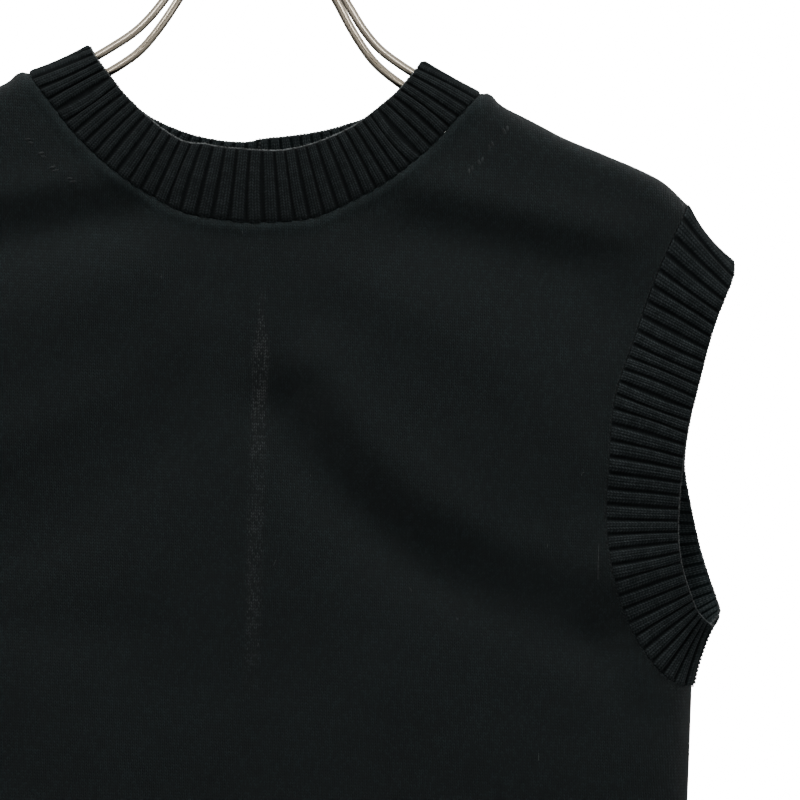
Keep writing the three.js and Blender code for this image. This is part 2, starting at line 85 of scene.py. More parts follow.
back = dict(
    name="back", way=1,
    depth=dict(drop=[0, 90, 330, 570], off=[19, 20, 19, 15]),
    neckSeam=dict(
        across=[0, 34, 53, 73.5, 95.5, 109.5, 121.7],
        drop=[85, 81, 73.5, 61.5, 44.5, 30, 16.6],
    ),
    armSeam=dict(
        across=[250.5, 241.5, 229.5, 213, 203, 201, 202.5, 210, 222.5, 236.1],
        drop=[330, 328, 317, 288.7, 250, 215, 175.5, 147.4, 105.8, 72],
    ),
    neckEdge=dict(
        across=[91, 90.6, 86.5, 77, 65, 53.5, 37, 19, 0],
        drop=[0, 1, 5.5, 15, 25, 33.2, 40, 44, 45],
        off=[0, 8, 13, 15, 16, 17, 17, 17, 17],
    ),
    armEdge=dict(
        across=[262.2, 262, 258, 251.5, 245, 243, 251, 257.7, 262.4, 264.4, 259.5],
        drop=[99.5, 107, 120.5, 139, 172, 208, 247.6, 268.5, 282.5, 290, 297],
        off=[0, 9, 13, 15, 16, 16, 15, 13, 10, 6, 0],
    ),
)

# The main folds, each a curve from start by way of a second point to end: its half width and its rise,
# above zero for a ridge and below for a trough. The last few on each face are finer creases.
# Scene only, as the photo shows it: how far each neck edge hangs below its table, from the left shoulder to
# the right. The band's two ends meet at the centre back, and one of them sits lower.
front["neckSag"] = dict(
    across=[-91, -84, -77, -70, -62, -55, -47.6, -37.6, -30, -25, -9, 9, 30, 50, 60, 69, 78, 86, 91],
    drop=[0, 0.2, 0.8, 1.7, 1.3, 1, 2, 3, 1.8, 0.3, 0, 0.4, 0, -0.5, 0, 0.8, 1.4, 0, 0],
)
back["neckSag"] = dict(
    across=[-91, -84, -77, -70, -62, -50, -37, -24, -4, 3, 9, 22, 40, 52, 61, 67, 75, 84, 91],
    drop=[0, 0.3, 2, 4, 4.8, 3.8, 3.4, 2.9, 2.2, 0.5, -0.5, -1.3, -0.6, 0.4, 2.5, 3, 1.6, -1, 0],
)
# How far each armband's edge stands out past its table, by drop
front["armShift"] = dict(drop=[95, 123, 139, 154, 169, 192, 300], across=[0.6, 0.8, 1.6, 1.6, 1.3, 0, 0])
back["armShift"] = dict(
    drop=[95, 123, 139, 154, 169, 192, 205, 215, 230, 267, 282, 297],
    across=[0.6, 0.8, 1.6, 1.6, 1.3, 0, -1.1, -1.6, -1.2, -1.2, -0.4, 0],
)
front["folds"] = [
    dict(start=(80, 98), by=(130, 108), end=(200, 126), width=24, rise=-4.2),
    dict(start=(-66, 94), by=(-112, 98), end=(-178, 118), width=22, rise=-3.6),
    dict(start=(50, 112), by=(148, 140), end=(196, 206), width=24, rise=2.2),
    dict(start=(-60, 116), by=(-140, 150), end=(-190, 214), width=26, rise=3.5),
    dict(start=(24, 192), by=(82, 278), end=(160, 280), width=26, rise=-4),
    dict(start=(140, 250), by=(182, 254), end=(196, 300), width=20, rise=-3),
    dict(start=(-46, 190), by=(-96, 262), end=(-168, 262), width=28, rise=-4),
    dict(start=(192, 248), by=(204, 268), end=(216, 292), width=10, rise=2),
    dict(start=(-90, 330), by=(-70, 430), end=(-96, 560), width=34, rise=3.5),
    dict(start=(60, 360), by=(84, 450), end=(70, 562), width=36, rise=3),
]
back["folds"] = [
    dict(start=(70, 88), by=(118, 74), end=(180, 84), width=22, rise=-4),
    dict(start=(-76, 86), by=(-120, 78), end=(-182, 88), width=20, rise=-4.5),
    dict(start=(-44, 120), by=(-140, 140), end=(-194, 212), width=26, rise=3.5),
    dict(start=(56, 122), by=(132, 152), end=(188, 220), width=24, rise=3),
    dict(start=(-30, 180), by=(-90, 252), end=(-170, 258), width=28, rise=-4),
    dict(start=(40, 196), by=(100, 270), end=(176, 272), width=26, rise=-3.5),
    dict(start=(20, 350), by=(-10, 440), end=(26, 560), width=40, rise=3.5),
]

# Scene only: pairs of a ridge and a trough that make the sharper creases under the shoulders and armholes
front["folds"] += [
    dict(start=(90, 66), by=(138, 76), end=(196, 88), width=11, rise=2.6),
    dict(start=(92, 90), by=(136, 97), end=(178, 106), width=14, rise=-3),
    dict(start=(-150, 88), by=(-110, 76), end=(-68, 70), width=10, rise=2.2),
    dict(start=(-154, 116), by=(-110, 101), end=(-70, 93), width=13, rise=-3),
    dict(start=(42, 166), by=(80, 244), end=(200, 272), width=16, rise=4.8),
    dict(start=(22, 190), by=(68, 276), end=(196, 310), width=17, rise=-5),
    dict(start=(52, 118), by=(106, 142), end=(196, 214), width=12, rise=1),
    dict(start=(-30, 150), by=(-84, 216), end=(-184, 226), width=15, rise=1.8),
    dict(start=(-40, 214), by=(-90, 286), end=(-180, 284), width=16, rise=-2),
    dict(start=(6, 122), by=(20, 240), end=(-8, 380), width=13, rise=0.8),
    dict(start=(-118, 300), by=(-40, 360), end=(40, 330), width=26, rise=-1.6),
    dict(start=(-170, 306), by=(-104, 320), end=(-50, 312), width=18, rise=-2.2),
    dict(start=(196, 308), by=(206, 328), end=(226, 348), width=11, rise=-2),
    dict(start=(90, 330), by=(150, 400), end=(226, 370), width=24, rise=1.8),
    dict(start=(-224, 360), by=(-150, 420), end=(-120, 520), width=24, rise=1.6),
]
back["folds"] += [
    dict(start=(-98, 66), by=(-140, 62), end=(-188, 76), width=9, rise=1.6),
    dict(start=(-96, 92), by=(-138, 94), end=(-184, 99), width=10, rise=-2.4),
    dict(start=(136, 60), by=(106, 68), end=(70, 80), width=9, rise=1.6),
    dict(start=(138, 88), by=(104, 96), end=(66, 104), width=10, rise=-2.2),
    dict(start=(-44, 160), by=(-90, 226), end=(-188, 238), width=13, rise=3),
    dict(start=(-26, 190), by=(-70, 268), end=(-182, 276), width=15, rise=-3.2),
    dict(start=(40, 156), by=(84, 222), end=(186, 232), width=14, rise=2.4),
    dict(start=(34, 204), by=(86, 276), end=(180, 278), width=15, rise=-2.6),
    dict(start=(-100, 320), by=(-30, 370), end=(60, 340), width=26, rise=-1.8),
    dict(start=(120, 330), by=(150, 420), end=(210, 400), width=24, rise=1.8),
]

# Rows of a panel go from the hem rib at 0 to the shoulder at 1, and columns from the centre to the side.
panelRows = [0, 0.15, 0.3, 0.3105, 0.3315, 0.37, 0.57, 0.87, 0.925, 0.967, 0.9845, 0.9932, 0.9982, 1]
halfColumns = [0, 0.43, 0.51, 0.5235, 0.534, 0.55, 0.63, 0.892, 0.944, 0.978, 0.992, 1]


def readTable(table, key, at, wanted):               # a smooth curve through a table's rows
    xs, ys = np.array(table[key], float), np.array(table[wanted], float)
    if xs[0] > xs[-1]:
        xs, ys = xs[::-1], ys[::-1]
    count = len(xs)
    before, after = np.maximum(np.arange(count) - 1, 0), np.minimum(np.arange(count) + 1, count - 1)
    slopes = (ys[after] - ys[before]) / (xs[after] - xs[before])
    k = np.clip(np.searchsorted(xs, at) - 1, 0, count - 2)
    span = xs[k + 1] - xs[k]
    share = (at - xs[k]) / span
    t = np.clip(share, 0, 1)
    rise = t * t * (3 - 2 * t)
    lead = slopes[k] * span * (t**3 - 2 * t * t + t)
    tail = slopes[k + 1] * span * (t**3 - t * t)
    beyond = slopes[k] * span * np.minimum(share, 0) + slopes[k + 1] * span * np.maximum(share - 1, 0)
    return ys[k] * (1 - rise) + ys[k + 1] * rise + lead + tail + beyond


def roundedEdge(distance, radius, power):            # 0 at an edge and 1 one radius in from it
    left = np.clip(1 - distance / radius, 0, 1)
    return (1 - left**power) ** (1 / power)


def shoulderDrop(across):
    return readTable(shoulderLine, "across", np.abs(across), "drop")


def belowShoulder(across, drop):
    out = np.maximum(np.abs(across), shoulderLine["across"][0])
    slope = shoulderDrop(out + 1) - shoulderDrop(out)
    return (drop - shoulderDrop(across)) / np.hypot(1, slope)


def sideAcross(drop):
    level = np.maximum(drop, sideLine["drop"][0])
    return readTable(sideLine, "drop", level, "across")


def gapTo(path, across, drop):                       # distance to a path of (across, drop) points
    nearest = np.full(np.shape(across), np.inf)
    for p, q in zip(path, path[1:]):
        run = q - p
        along = np.clip(((across - p[0]) * run[0] + (drop - p[1]) * run[1]) / run.dot(run), 0, 1)
        nearest = np.minimum(nearest, np.hypot(across - p[0] - along * run[0], drop - p[1] - along * run[1]))
    return nearest


def foldRise(folds, across, drop):
    total = np.zeros(np.shape(across))
    t = np.linspace(0, 1, 13)[:, None]
    for fold in folds:
        a, b, c = (np.array(fold[key], float) for key in ("start", "by", "end"))
        path = (1 - t) ** 2 * a + 2 * t * (1 - t) * b + t * t * c
        total += fold["rise"] * np.exp(-((gapTo(path, across, drop) / fold["width"]) ** 2))
    return total


# The linked seam lifts the stitches beside it into a low ridge. The shoulder line rises in a bump beside it,
# and again at the shoulder's tip.
neckRidge = dict(inset=3.4, width=2.8, rise=1.3)
shoulderLift = dict(
    across=[100, 118, 122, 127, 132, 137, 147, 157, 170, 184, 205, 216, 228, 236, 260],
    rise=[0, 0, 1, 3.8, 1.2, 0.7, 1.2, 1.2, 0.6, 0, 0.1, 0.5, 1.5, 1.4, 0],
)


def besideNeck(face, across, drop):
    return gapTo(face["neckPath"], np.abs(across), drop)


def clothOff(face, across, drop):                    # how far a panel's outside stands off the middle plane
    overShoulder = roundedEdge(belowShoulder(across, drop), **garment["shoulder"])
    roundSide = roundedEdge(sideAcross(drop) - np.abs(across), **garment["side"])
    flat = readTable(face["depth"], "drop", drop, "off") + foldRise(face["folds"], across, drop)
    fromRidge = (besideNeck(face, across, drop) - neckRidge["inset"]) / neckRidge["width"]
    return (flat + neckRidge["rise"] * np.exp(-(fromRidge**2))) * overShoulder * roundSide


def clothPoint(face, across, drop):                  # points in metres, and the directions that face out
    step = 0.25
    off = clothOff(face, across, drop)
    alongX = (clothOff(face, across + step, drop) - clothOff(face, across - step, drop)) / (2 * step)
    downward = (clothOff(face, across, drop + step) - clothOff(face, across, drop - step)) / (2 * step)
    facing = np.where(off < garment["seamGap"], 0, face["way"])
    normal = np.stack([-alongX, facing, downward], -1)
    normal /= np.linalg.norm(normal, axis=-1, keepdims=True)
    return place(across, face["way"] * np.maximum(off, garment["seamGap"] / 2), drop), normal


def readCurve(points, share):                        # a chain of points, read by its share of the length
    lengths = np.concatenate([[0], np.cumsum(np.linalg.norm(np.diff(points[:, :3], axis=0), axis=1))])
    lengths /= lengths[-1]
    return np.stack([np.interp(share, lengths, points[:, k]) for k in range(points.shape[1])], -1)


def smoothPath(points, samples=24):                  # a centripetal spline through the given points
    points = np.array(points, float)
    full = np.vstack([2 * points[0] - points[1], points, 2 * points[-1] - points[-2]])
    t = np.linspace(0, 1, samples, endpoint=False)[:, None]
    stretches = []
    for p0, p1, p2, p3 in zip(full, full[1:], full[2:], full[3:]):
        d0, d1, d2 = (math.sqrt(np.linalg.norm(b - a)) for a, b in ((p0, p1), (p1, p2), (p2, p3)))
        lead = ((p1 - p0) / d0 - (p2 - p0) / (d0 + d1) + (p2 - p1) / d1) * d1
        tail = ((p2 - p1) / d1 - (p3 - p1) / (d1 + d2) + (p3 - p2) / d2) * d1
        rise = t * t * (3 - 2 * t)
        stretches.append(p1 * (1 - rise) + p2 * rise + lead * (t**3 - 2 * t * t + t) + tail * (t**3 - t * t))
    return np.vstack(stretches + [points[-1:]])


def tablePath(table):
    off = table.get("off", [0] * len(table["drop"]))
    return smoothPath(np.stack([table["across"], off, table["drop"]], -1))


def spread(marks, step):                             # the marks, with even steps put in between
    out = []
    for a, b in zip(marks, marks[1:]):
        count = max(2, math.ceil(abs(b - a) / step))
        out.extend(np.linspace(a, b, count, endpoint=False))
    return np.array(out + [marks[-1]])


# A shell from a grid of outside points and a grid of inside points, with its edges closed. Its UV map is
# in metres, with the stitches' columns upright. Columns may meet round a loop.
def shell(name, outside, inside, outsideUv, insideUv, loop=False):
    rows, columns = outside.shape[:2]
    vertices = np.concatenate([outside.reshape(-1, 3), inside.reshape(-1, 3)])
    under = rows * columns
    r, c = np.meshgrid(np.arange(rows - 1), np.arange(columns if loop else columns - 1), indexing="ij")
    r, c = r.ravel(), c.ravel()
    nextC = (c + 1) % columns
    quads = np.stack([r * columns + c, r * columns + nextC, (r + 1) * columns + nextC, (r + 1) * columns + c], 1)
    corners = np.stack([np.stack([r, c], 1), np.stack([r, c + 1], 1), np.stack([r + 1, c + 1], 1),
                        np.stack([r + 1, c], 1)], 1)
    outUv = outsideUv[corners[..., 0], corners[..., 1]]
    inUv = insideUv[corners[..., 0], corners[..., 1]]
    faces = [quads, quads[:, ::-1] + under]
    maps = [outUv, inUv[:, ::-1]]
    rims = []
    rims.append([(0, k) for k in range(columns)])
    rims.append([(rows - 1, k) for k in reversed(range(columns))])
    if loop:
        rims = [rim + rim[:1] for rim in rims]
    else:
        rims.append([(k, columns - 1) for k in range(rows)])
        rims.append([(k, 0) for k in reversed(range(rows))])
    for rim in rims:
        at = np.array([row * columns + column for row, column in rim])
        faces.append(np.stack([at[1:], at[:-1], at[:-1] + under, at[1:] + under], 1))
        uv = np.array([outsideUv[row, column] for row, column in rim])
        maps.append(np.stack([uv[1:], uv[:-1], uv[:-1], uv[1:]], 1))
    faces, maps = np.concatenate(faces), np.concatenate(maps)
    a, b, d = (vertices[faces[:, k]] for k in (0, 1, 2))
    if np.einsum("ij,ij->", a, np.cross(b, d)) < 0:
        faces, maps = faces[:, ::-1], maps[:, ::-1]
    mesh = bpy.data.meshes.new(name)
    mesh.from_pydata(vertices.tolist(), [], faces.tolist())
    layer = mesh.uv_layers.new(name="stitches")
    layer.data.foreach_set("uv", maps.reshape(-1))
    mesh.shade_smooth()
    mesh.update()
    piece = bpy.data.objects.new(name, mesh)
    bpy.context.scene.collection.objects.link(piece)
    return piece


# How much longer the cloth is than its run from an edge, where it rounds away to the middle plane
def roundingExtra(distance, depth, radius, power):
    steps = np.linspace(0, radius, 200)
    off = depth * roundedEdge(steps, radius, power)
    lengths = np.concatenate([[0], np.cumsum(np.hypot(np.diff(steps), np.diff(off)))])
    extra = lengths - steps
    return extra[-1] - np.interp(distance, steps, extra)


def panelUv(face, across, drop):
    depth = face["depth"]["off"][1]
    sideways = np.abs(across) + roundingExtra(sideAcross(drop) - np.abs(across), depth, **garment["side"])
    upward = roundingExtra(belowShoulder(across, drop), depth, **garment["shoulder"])
    return np.stack([np.sign(across) * sideways, upward - drop], -1) * mm


def panelGrid(face):                                 # the panel's four edges blended across the middle
    neck, armhole = tablePath(face["neckSeam"]), tablePath(face["armSeam"])
    neckOut, underarm = garment["neckColumn"], garment["underarmRow"]
    rows = spread(panelRows, garment["rowStep"])
    half = spread(halfColumns, garment["columnStep"])
    columns = np.concatenate([-half[:0:-1], half])
    u, v = np.abs(columns)[None, :, None], rows[:, None, None]
    onNeck = readCurve(neck, np.clip(np.abs(columns) / neckOut, 0, 1))
    tip, start = shoulderLine["across"][-1], shoulderLine["across"][0]
    overTip = start + (tip - start) * np.clip((np.abs(columns) - neckOut) / (1 - neckOut), 0, 1)
    onShoulder = np.stack([overTip, 0 * overTip, shoulderDrop(overTip)], -1)
    top = np.where(np.abs(columns)[:, None] <= neckOut, onNeck, onShoulder)[None]
    onArm = readCurve(armhole, np.clip((rows - underarm) / (1 - underarm), 0, 1))
    sideDrop = garment["hemTop"] + (sideLine["drop"][0] - garment["hemTop"]) * np.clip(rows / underarm, 0, 1)
    onSide = np.stack([sideAcross(sideDrop), 0 * sideDrop, sideDrop], -1)
    side = np.where(rows[:, None] >= underarm, onArm, onSide)[:, None]
    hemOut = float(sideAcross(np.array(garment["hemTop"])))
    hem = np.concatenate([u * hemOut, 0 * u, 0 * u + garment["hemTop"]], -1)
    neckLow = face["neckSeam"]["drop"][0]
    middleDrop = garment["hemTop"] + (neckLow - garment["hemTop"]) * v
    middle = np.concatenate([0 * v, 0 * v, middleDrop], -1)
    hemCorner, topCorner = hem[:, -1:], top[:, -1:]
    hemMiddle, topMiddle = middle[:1], middle[-1:]
    flat = (hem * (1 - v) + top * v + middle * (1 - u) + side * u - hemMiddle * (1 - u) * (1 - v)
            - hemCorner * u * (1 - v) - topMiddle * (1 - u) * v - topCorner * u * v)
    across = np.sign(columns)[None] * flat[..., 0]
    points, normals = clothPoint(face, across, flat[..., 2])
    lift = readTable(shoulderLift, "across", np.abs(across), "rise")
    points[..., 2] += lift * mm * np.exp(-np.maximum(belowShoulder(across, flat[..., 2]), 0) / 5)
    return dict(points=points, normals=normals, uv=panelUv(face, across, flat[..., 2]), rows=rows, half=half,
                besideNeck=besideNeck(face, across, flat[..., 2]))


for face in (front, back):
    face["neckPath"] = tablePath(face["neckSeam"])[::6, ::2]
    face["grid"] = panelGrid(face)
print("cloth laid out,", front["grid"]["points"].shape[:2], "points a panel")


def panel(face):
    grid = face["grid"]
    inside = grid["points"] - grid["normals"] * garment["wall"] * mm
    piece = shell(face["name"] + "_body", grid["points"], inside, grid["uv"], grid["uv"])
    # A painted highlight: the cloth beside the neck seam is painted lighter, as its low ridge catching the light.
    beside = np.exp(-((grid["besideNeck"] / 7.5) ** 3)).ravel()
    piece.data.attributes.new("besideNeck", "FLOAT", "POINT").data.foreach_set(
        "value", np.tile(beside, 2).astype(np.float32))
    return piece


# The edges of the panels as loops. Each starts at the right shoulder and runs down the front first, and
# each of its stretches takes an equal part of the turn.
def edgeChain(face, side, which):
    grid = face["grid"]
    middle = len(grid["half"]) - 1
    if which == "neck":
        out = int(np.argmin(np.abs(grid["half"] - garment["neckColumn"])))
        rows, columns = -1, middle + side * np.arange(out, -1, -1)
    elif which == "arm":
        low = int(np.argmin(np.abs(grid["rows"] - garment["underarmRow"])))
        rows, columns = np.arange(len(grid["rows"]) - 1, low - 1, -1), middle + side * middle
    else:
        rows, columns = 0, middle + side * np.arange(0, middle + 1)
    chain = np.concatenate([grid["points"][rows, columns], grid["normals"][rows, columns]], -1)
    if which != "hem":
        chain[0, 1] = 0                              # the two panels' seam lies in the middle plane
    if which != "neck":
        chain[-1, 1] = 0
    return chain


def freeEdge(face, side, table):
    path = tablePath(face[table])
    if table == "neckEdge":
        path[:, 2] += readTable(face["neckSag"], "across", side * path[:, 0], "drop")
        path[:, 0] -= 1.3 * np.exp(-((path[:, 2] / 5) ** 2))
    else:
        path[:, 0] += readTable(face["armShift"], "drop", path[:, 2], "across")
    return place(side * path[:, 0], face["way"] * path[:, 1], path[:, 2])


def loopAround(parts, turns):
    turns = np.asarray(turns) % 1
    stretch = np.minimum((turns * len(parts)).astype(int), len(parts) - 1)
    share = turns * len(parts) - stretch
    out = np.zeros((len(turns), parts[0].shape[1]))
    for k, part in enumerate(parts):
        here = stretch == k
        out[here] = readCurve(part, share[here])
    return out


def unit(vectors):
    return vectors / np.maximum(np.linalg.norm(vectors, axis=-1, keepdims=True), 1e-12)


def dot(a, b):
    return np.sum(a * b, -1, keepdims=True)


# A band of two-by-two rib: in each repeat two plain columns stand proud and close over the two that lie low.
ribSteps = [0, 0.05, 0.08, 0.12, 0.17, 0.23, 0.31, 0.4, 0.5, 0.6, 0.69, 0.77, 0.83, 0.88, 0.92, 0.95]
ribColumns = dict(share=[0, 0.12, 0.5, 0.88, 1], wale=[0, 1, 2, 3, 4])
# Where the ribs of an armband leave the seam and where they end, as shares from the shoulder to the underarm
armPace = dict(
    rib=[0, 0.1, 0.25, 0.4, 0.5, 0.6, 0.7, 0.8, 0.9, 1],
    seam=[0, 0.131, 0.286, 0.413, 0.513, 0.612, 0.709, 0.805, 0.902, 1],
    edge=[0, 0.125, 0.3, 0.466, 0.577, 0.693, 0.787, 0.885, 0.951, 1],
)
# The same for the neck band, from the right shoulder to the left: its ribs open out at the middle
neckPace = dict(
    rib=[0, 0.07, 0.186, 0.326, 0.465, 0.512, 0.558, 0.605, 0.744, 0.884, 0.93, 1],
    seam=[0, 0.065, 0.172, 0.306, 0.448, 0.502, 0.557, 0.609, 0.753, 0.891, 0.934, 1],
    edge=[0, 0.065, 0.172, 0.306, 0.448, 0.502, 0.557, 0.609, 0.753, 0.891, 0.934, 1],
)


def ribHeight(share):
    arch = np.clip((np.abs(np.sin(np.pi * share)) - 0.2) / 0.6, 0, 1) ** 0.75
    column = np.abs(np.sin(np.pi * (share % 1 - 0.12) / 0.38))
    return arch * (0.86 + 0.14 * column)


def waleAt(turnsOfRib):
    whole = np.floor(turnsOfRib)
    return whole * 4 + np.interp(turnsOfRib - whole, ribColumns["share"], ribColumns["wale"])


def paced(turns, pace, wanted):
    if pace is None:
        return turns
    turns = turns % 1
    half = readTable(pace, "rib", 2 * np.minimum(turns, 1 - turns), wanted) / 2
    return np.where(turns < 0.5, half, 1 - half)


def ribBand(name, seam, edge, ribs, depth, bulge, endBulges, endWidth, pace=None, seed=1):
    samples = len(ribSteps)
    turns = ((np.arange(ribs)[:, None] + np.array(ribSteps)) / ribs).ravel()
    step = 0.5 / ribs
    onSeam, onEdge = paced(turns, pace, "seam"), paced(turns, pace, "edge")
    here = loopAround(seam, onSeam)
    start, outward = here[:, :3], unit(here[:, 3:])
    alongSeam = unit(loopAround(seam, onSeam + step)[:, :3] - loopAround(seam, onSeam - step)[:, :3])
    end = loopAround(edge, onEdge)
    away = end - start
    away = unit(away - alongSeam * dot(away, alongSeam) - outward * dot(away, outward))
    start = start + away * garment["seamGap"] * mm
    alongEdge = loopAround(edge, onEdge + step) - loopAround(edge, onEdge - step)
    endNormal = unit(np.cross(alongEdge, start - end))
    endNormal *= np.sign(dot(endNormal, outward))
    levels = np.concatenate([[0, 0.02, 0.06], np.linspace(0.12, 0.9, 9), [0.94, 0.965, 0.985, 0.995, 1]])
    level = levels[:, None, None]
    rng = np.random.default_rng(seed)
    swing = np.repeat(rng.normal(0, 1, ribs), samples)
    swell = np.repeat(rng.normal(1, 0.1, ribs), samples)
    blendTo = np.convolve(np.r_[swing[-10:], swing, swing[:10]], np.ones(11) / 11, "same")[10:-10]
    swell = np.convolve(np.r_[swell[-3:], swell, swell[:3]], np.ones(5) / 5, "same")[3:-3]
    aside = unit(alongSeam)[None] * (blendTo[None, :, None] * 0.55 * mm) * np.sin(np.pi * level)
    centre = start[None] * (1 - level) + end[None] * level + aside
    normal = unit(outward[None] * (1 - level) + endNormal[None] * level)
    bulges = np.full(len(turns), float(bulge))
    for at, endBulge in zip((0, 0.5), endBulges):    # the band dips or swells at both its folds
        toEnd = np.minimum(np.abs(turns - at), 1 - np.abs(turns - at)) / endWidth
        bulges += (endBulge - bulge) * np.exp(-(toEnd**2))
    centre = centre + normal * bulges[None, :, None] * mm * np.sin(np.pi * level) ** 0.8
    rib = (ribHeight(turns * ribs) * swell)[None, :, None] * yarn["ribRise"] * mm
    inRib = (ribHeight(turns * ribs + 0.5) * swell)[None, :, None] * yarn["ribRise"] * mm
    fade = np.clip((1 - level) * depth / 1.6, 0, 1)
    roundness = 0.3 + 0.7 * np.sqrt(1 - (1 - fade) ** 2)
    fromSeam = np.clip(level * depth / 1.2, 0, 1)
    strength = roundness * (0.35 + 0.65 * fromSeam)
    wall = garment["wall"] * mm * 0.5
    outside = centre + normal * (wall * (roundness - 1) + rib * strength)
    inside = centre - normal * (wall * (roundness + 1) + (inRib - yarn["ribRise"] * mm) * 0.7 * strength)
    aroundTurns = np.append(turns, 1) * ribs
    v = np.broadcast_to(levels[:, None] * depth * mm, (len(levels), len(aroundTurns)))
    outU, inU = (np.broadcast_to(waleAt(aroundTurns + shift) * yarn["wale"] * mm, v.shape) for shift in (0, 0.5))
    piece = shell(name, outside, inside, np.stack([outU, v], -1), np.stack([inU, v], -1), loop=True)
    inner = np.repeat([0.0, 1.0], len(levels) * len(turns)).astype(np.float32)
    piece.data.attributes.new("innerSide", "FLOAT", "POINT").data.foreach_set("value", inner)
    rim = dict(points=outside[-1] - normal[-1] * wall * 0.3, normals=unit(end - start),
               inside=inside, outside=outside, facing=-normal)
    return piece, rim


def backwards(part):
    return part[::-1]


bands = dict(
    neck=dict(ribs=86, depth=40, bulge=1.2, endBulges=(-0.4, -1), endWidth=0.04, pace=neckPace),
    arm=dict(ribs=73, depth=38.5, bulge=1.4, endBulges=(-2.8, -1.4), endWidth=0.05, pace=armPace),
    hem=dict(ribs=128, depth=60, bulge=0.8, endBulges=(0.8, 0.8), endWidth=0.05, drawAcross=0.975, drawOff=0.88),
)


def neckBand():
    parts = [(front, 1), (front, -1), (back, -1), (back, 1)]
    turned = [False, True, False, True]
    seam = [edgeChain(face, side, "neck") for face, side in parts]
    edge = [freeEdge(face, side, "neckEdge") for face, side in parts]
    seam, edge = ([backwards(p) if t else p for p, t in zip(loop, turned)] for loop in (seam, edge))
    return ribBand("neck_rib", seam, edge, seed=3, **bands["neck"])


def armband(name, side, seed):
    seam = [edgeChain(front, side, "arm"), backwards(edgeChain(back, side, "arm"))]
    edge = [freeEdge(front, side, "armEdge"), backwards(freeEdge(back, side, "armEdge"))]
    return ribBand(name, seam, edge, seed=seed, **bands["arm"])


def hemBand():
    seam = [backwards(edgeChain(front, 1, "hem")), edgeChain(front, -1, "hem"),
            backwards(edgeChain(back, -1, "hem")), edgeChain(back, 1, "hem")]
    sizes = dict(bands["hem"])
    shrink = np.array([sizes.pop("drawAcross"), sizes.pop("drawOff"), 1])
    lower = np.array([0, 0, garment["hemDepth"] * mm])
    edge = [part[:, :3] * shrink - lower for part in seam]
    return ribBand("hem_rib", seam, edge, seed=9, **sizes)


frontBody, backBody = panel(front), panel(back)
neckRib, neckRim = neckBand()
armRight, armRightRim = armband("arm_rib_right", 1, 5)
armLeft, armLeftRim = armband("arm_rib_left", -1, 7)
hemRib, hemRim = hemBand()
print("panels and rib bands made")

# Shader maths as expressions. Sock wraps a socket: + - * / and ** add Math nodes, and node() adds any other.
def mathOperator(operation, reflected=False):
    def apply(self, other):
        pair = {0: other, 1: self} if reflected else {0: self, 1: other}
        return self.node("ShaderNodeMath", {"operation": operation}, pair)
    return apply


class Sock:
    def __init__(self, tree, socket=None):
        self.tree, self.socket = tree, socket

    __add__ = __radd__ = mathOperator("ADD")
    __mul__ = __rmul__ = mathOperator("MULTIPLY")
    __sub__, __rsub__ = mathOperator("SUBTRACT"), mathOperator("SUBTRACT", True)
    __truediv__, __rtruediv__ = mathOperator("DIVIDE"), mathOperator("DIVIDE", True)
    __pow__ = mathOperator("POWER")

    def node(self, kind, settings=None, values=None, out=0):
        made = self.tree.nodes.new(kind)
        for name, value in (settings or {}).items():
            if name == "stops":
                ramp = made.color_ramp.elements
                while len(ramp) < len(value):
                    ramp.new(0.5)
                for element, (at, color) in zip(ramp, value):
                    element.position, element.color = at, color
            else:
                setattr(made, name, value)
        for key, value in (values or {}).items():
            if isinstance(value, Sock):
                self.tree.links.new(value.socket, made.inputs[key])
            else:
                made.inputs[key].default_value = value
        return Sock(self.tree, made.outputs[out])


def maths(operation, value, *others):
    return value.node("ShaderNodeMath", {"operation": operation}, dict(enumerate((value,) + others)))


def between(value, low, high):                       # 0 below low, 1 above high, eased
    return value.node("ShaderNodeMapRange", {"interpolation_type": "SMOOTHSTEP"},
                      {"Value": value, "From Min": low, "From Max": high})


def mixColor(factor, a, b):
    return factor.node("ShaderNodeMix", {"data_type": "RGBA"}, {0: factor, 6: a, 7: b}, out=2)


def grain(coords, scale, detail=2, rough=0.5):
    return coords.node("ShaderNodeTexNoise", {}, {"Vector": coords, "Scale": scale, "Detail": detail,
                                                 "Roughness": rough})


def second(socket, out):                             # another output of the same node
    return Sock(socket.tree, socket.socket.node.outputs[out])


def randomAt(x, y, seed=0):                          # an even random value for each whole cell
    cell = x.node("ShaderNodeCombineXYZ", {}, {0: maths("FLOOR", x), 1: maths("FLOOR", y), 2: float(seed)})
    return cell.node("ShaderNodeTexWhiteNoise", {}, {"Vector": cell})


def newMaterial(name):
    material = bpy.data.materials.new(name)
    material.use_nodes = True
    tree = material.node_tree
    shader = tree.nodes["Principled BSDF"]
    return material, Sock(tree), shader


def feed(sock, socket):
    sock.tree.links.new(sock.socket, socket)


def rgba(color, scale=1):
    return tuple(channel * scale for channel in color) + (1,)


# The knitted yarn: near-black with a slight cool cast. Each stitch is a V whose two legs stand proud.
knitLook = dict(
    low=(0.0009, 0.0017, 0.0018), high=(0.0155, 0.0266, 0.0276), ribHigh=(0.0215, 0.0264, 0.0274),
    fleck=(0.085, 0.09, 0.09), stripe=(0.125, 0.133, 0.133), roughness=0.86, sheen=0.1, bump=0.6,
)
# The bright column down the front: across and drop of its two ends, and its half widths, in millimetres
stripe = dict(topAcross=9.4, topDrop=127, lowAcross=13.4, lowDrop=340, narrow=1.7, wide=4.8, widensBy=150)


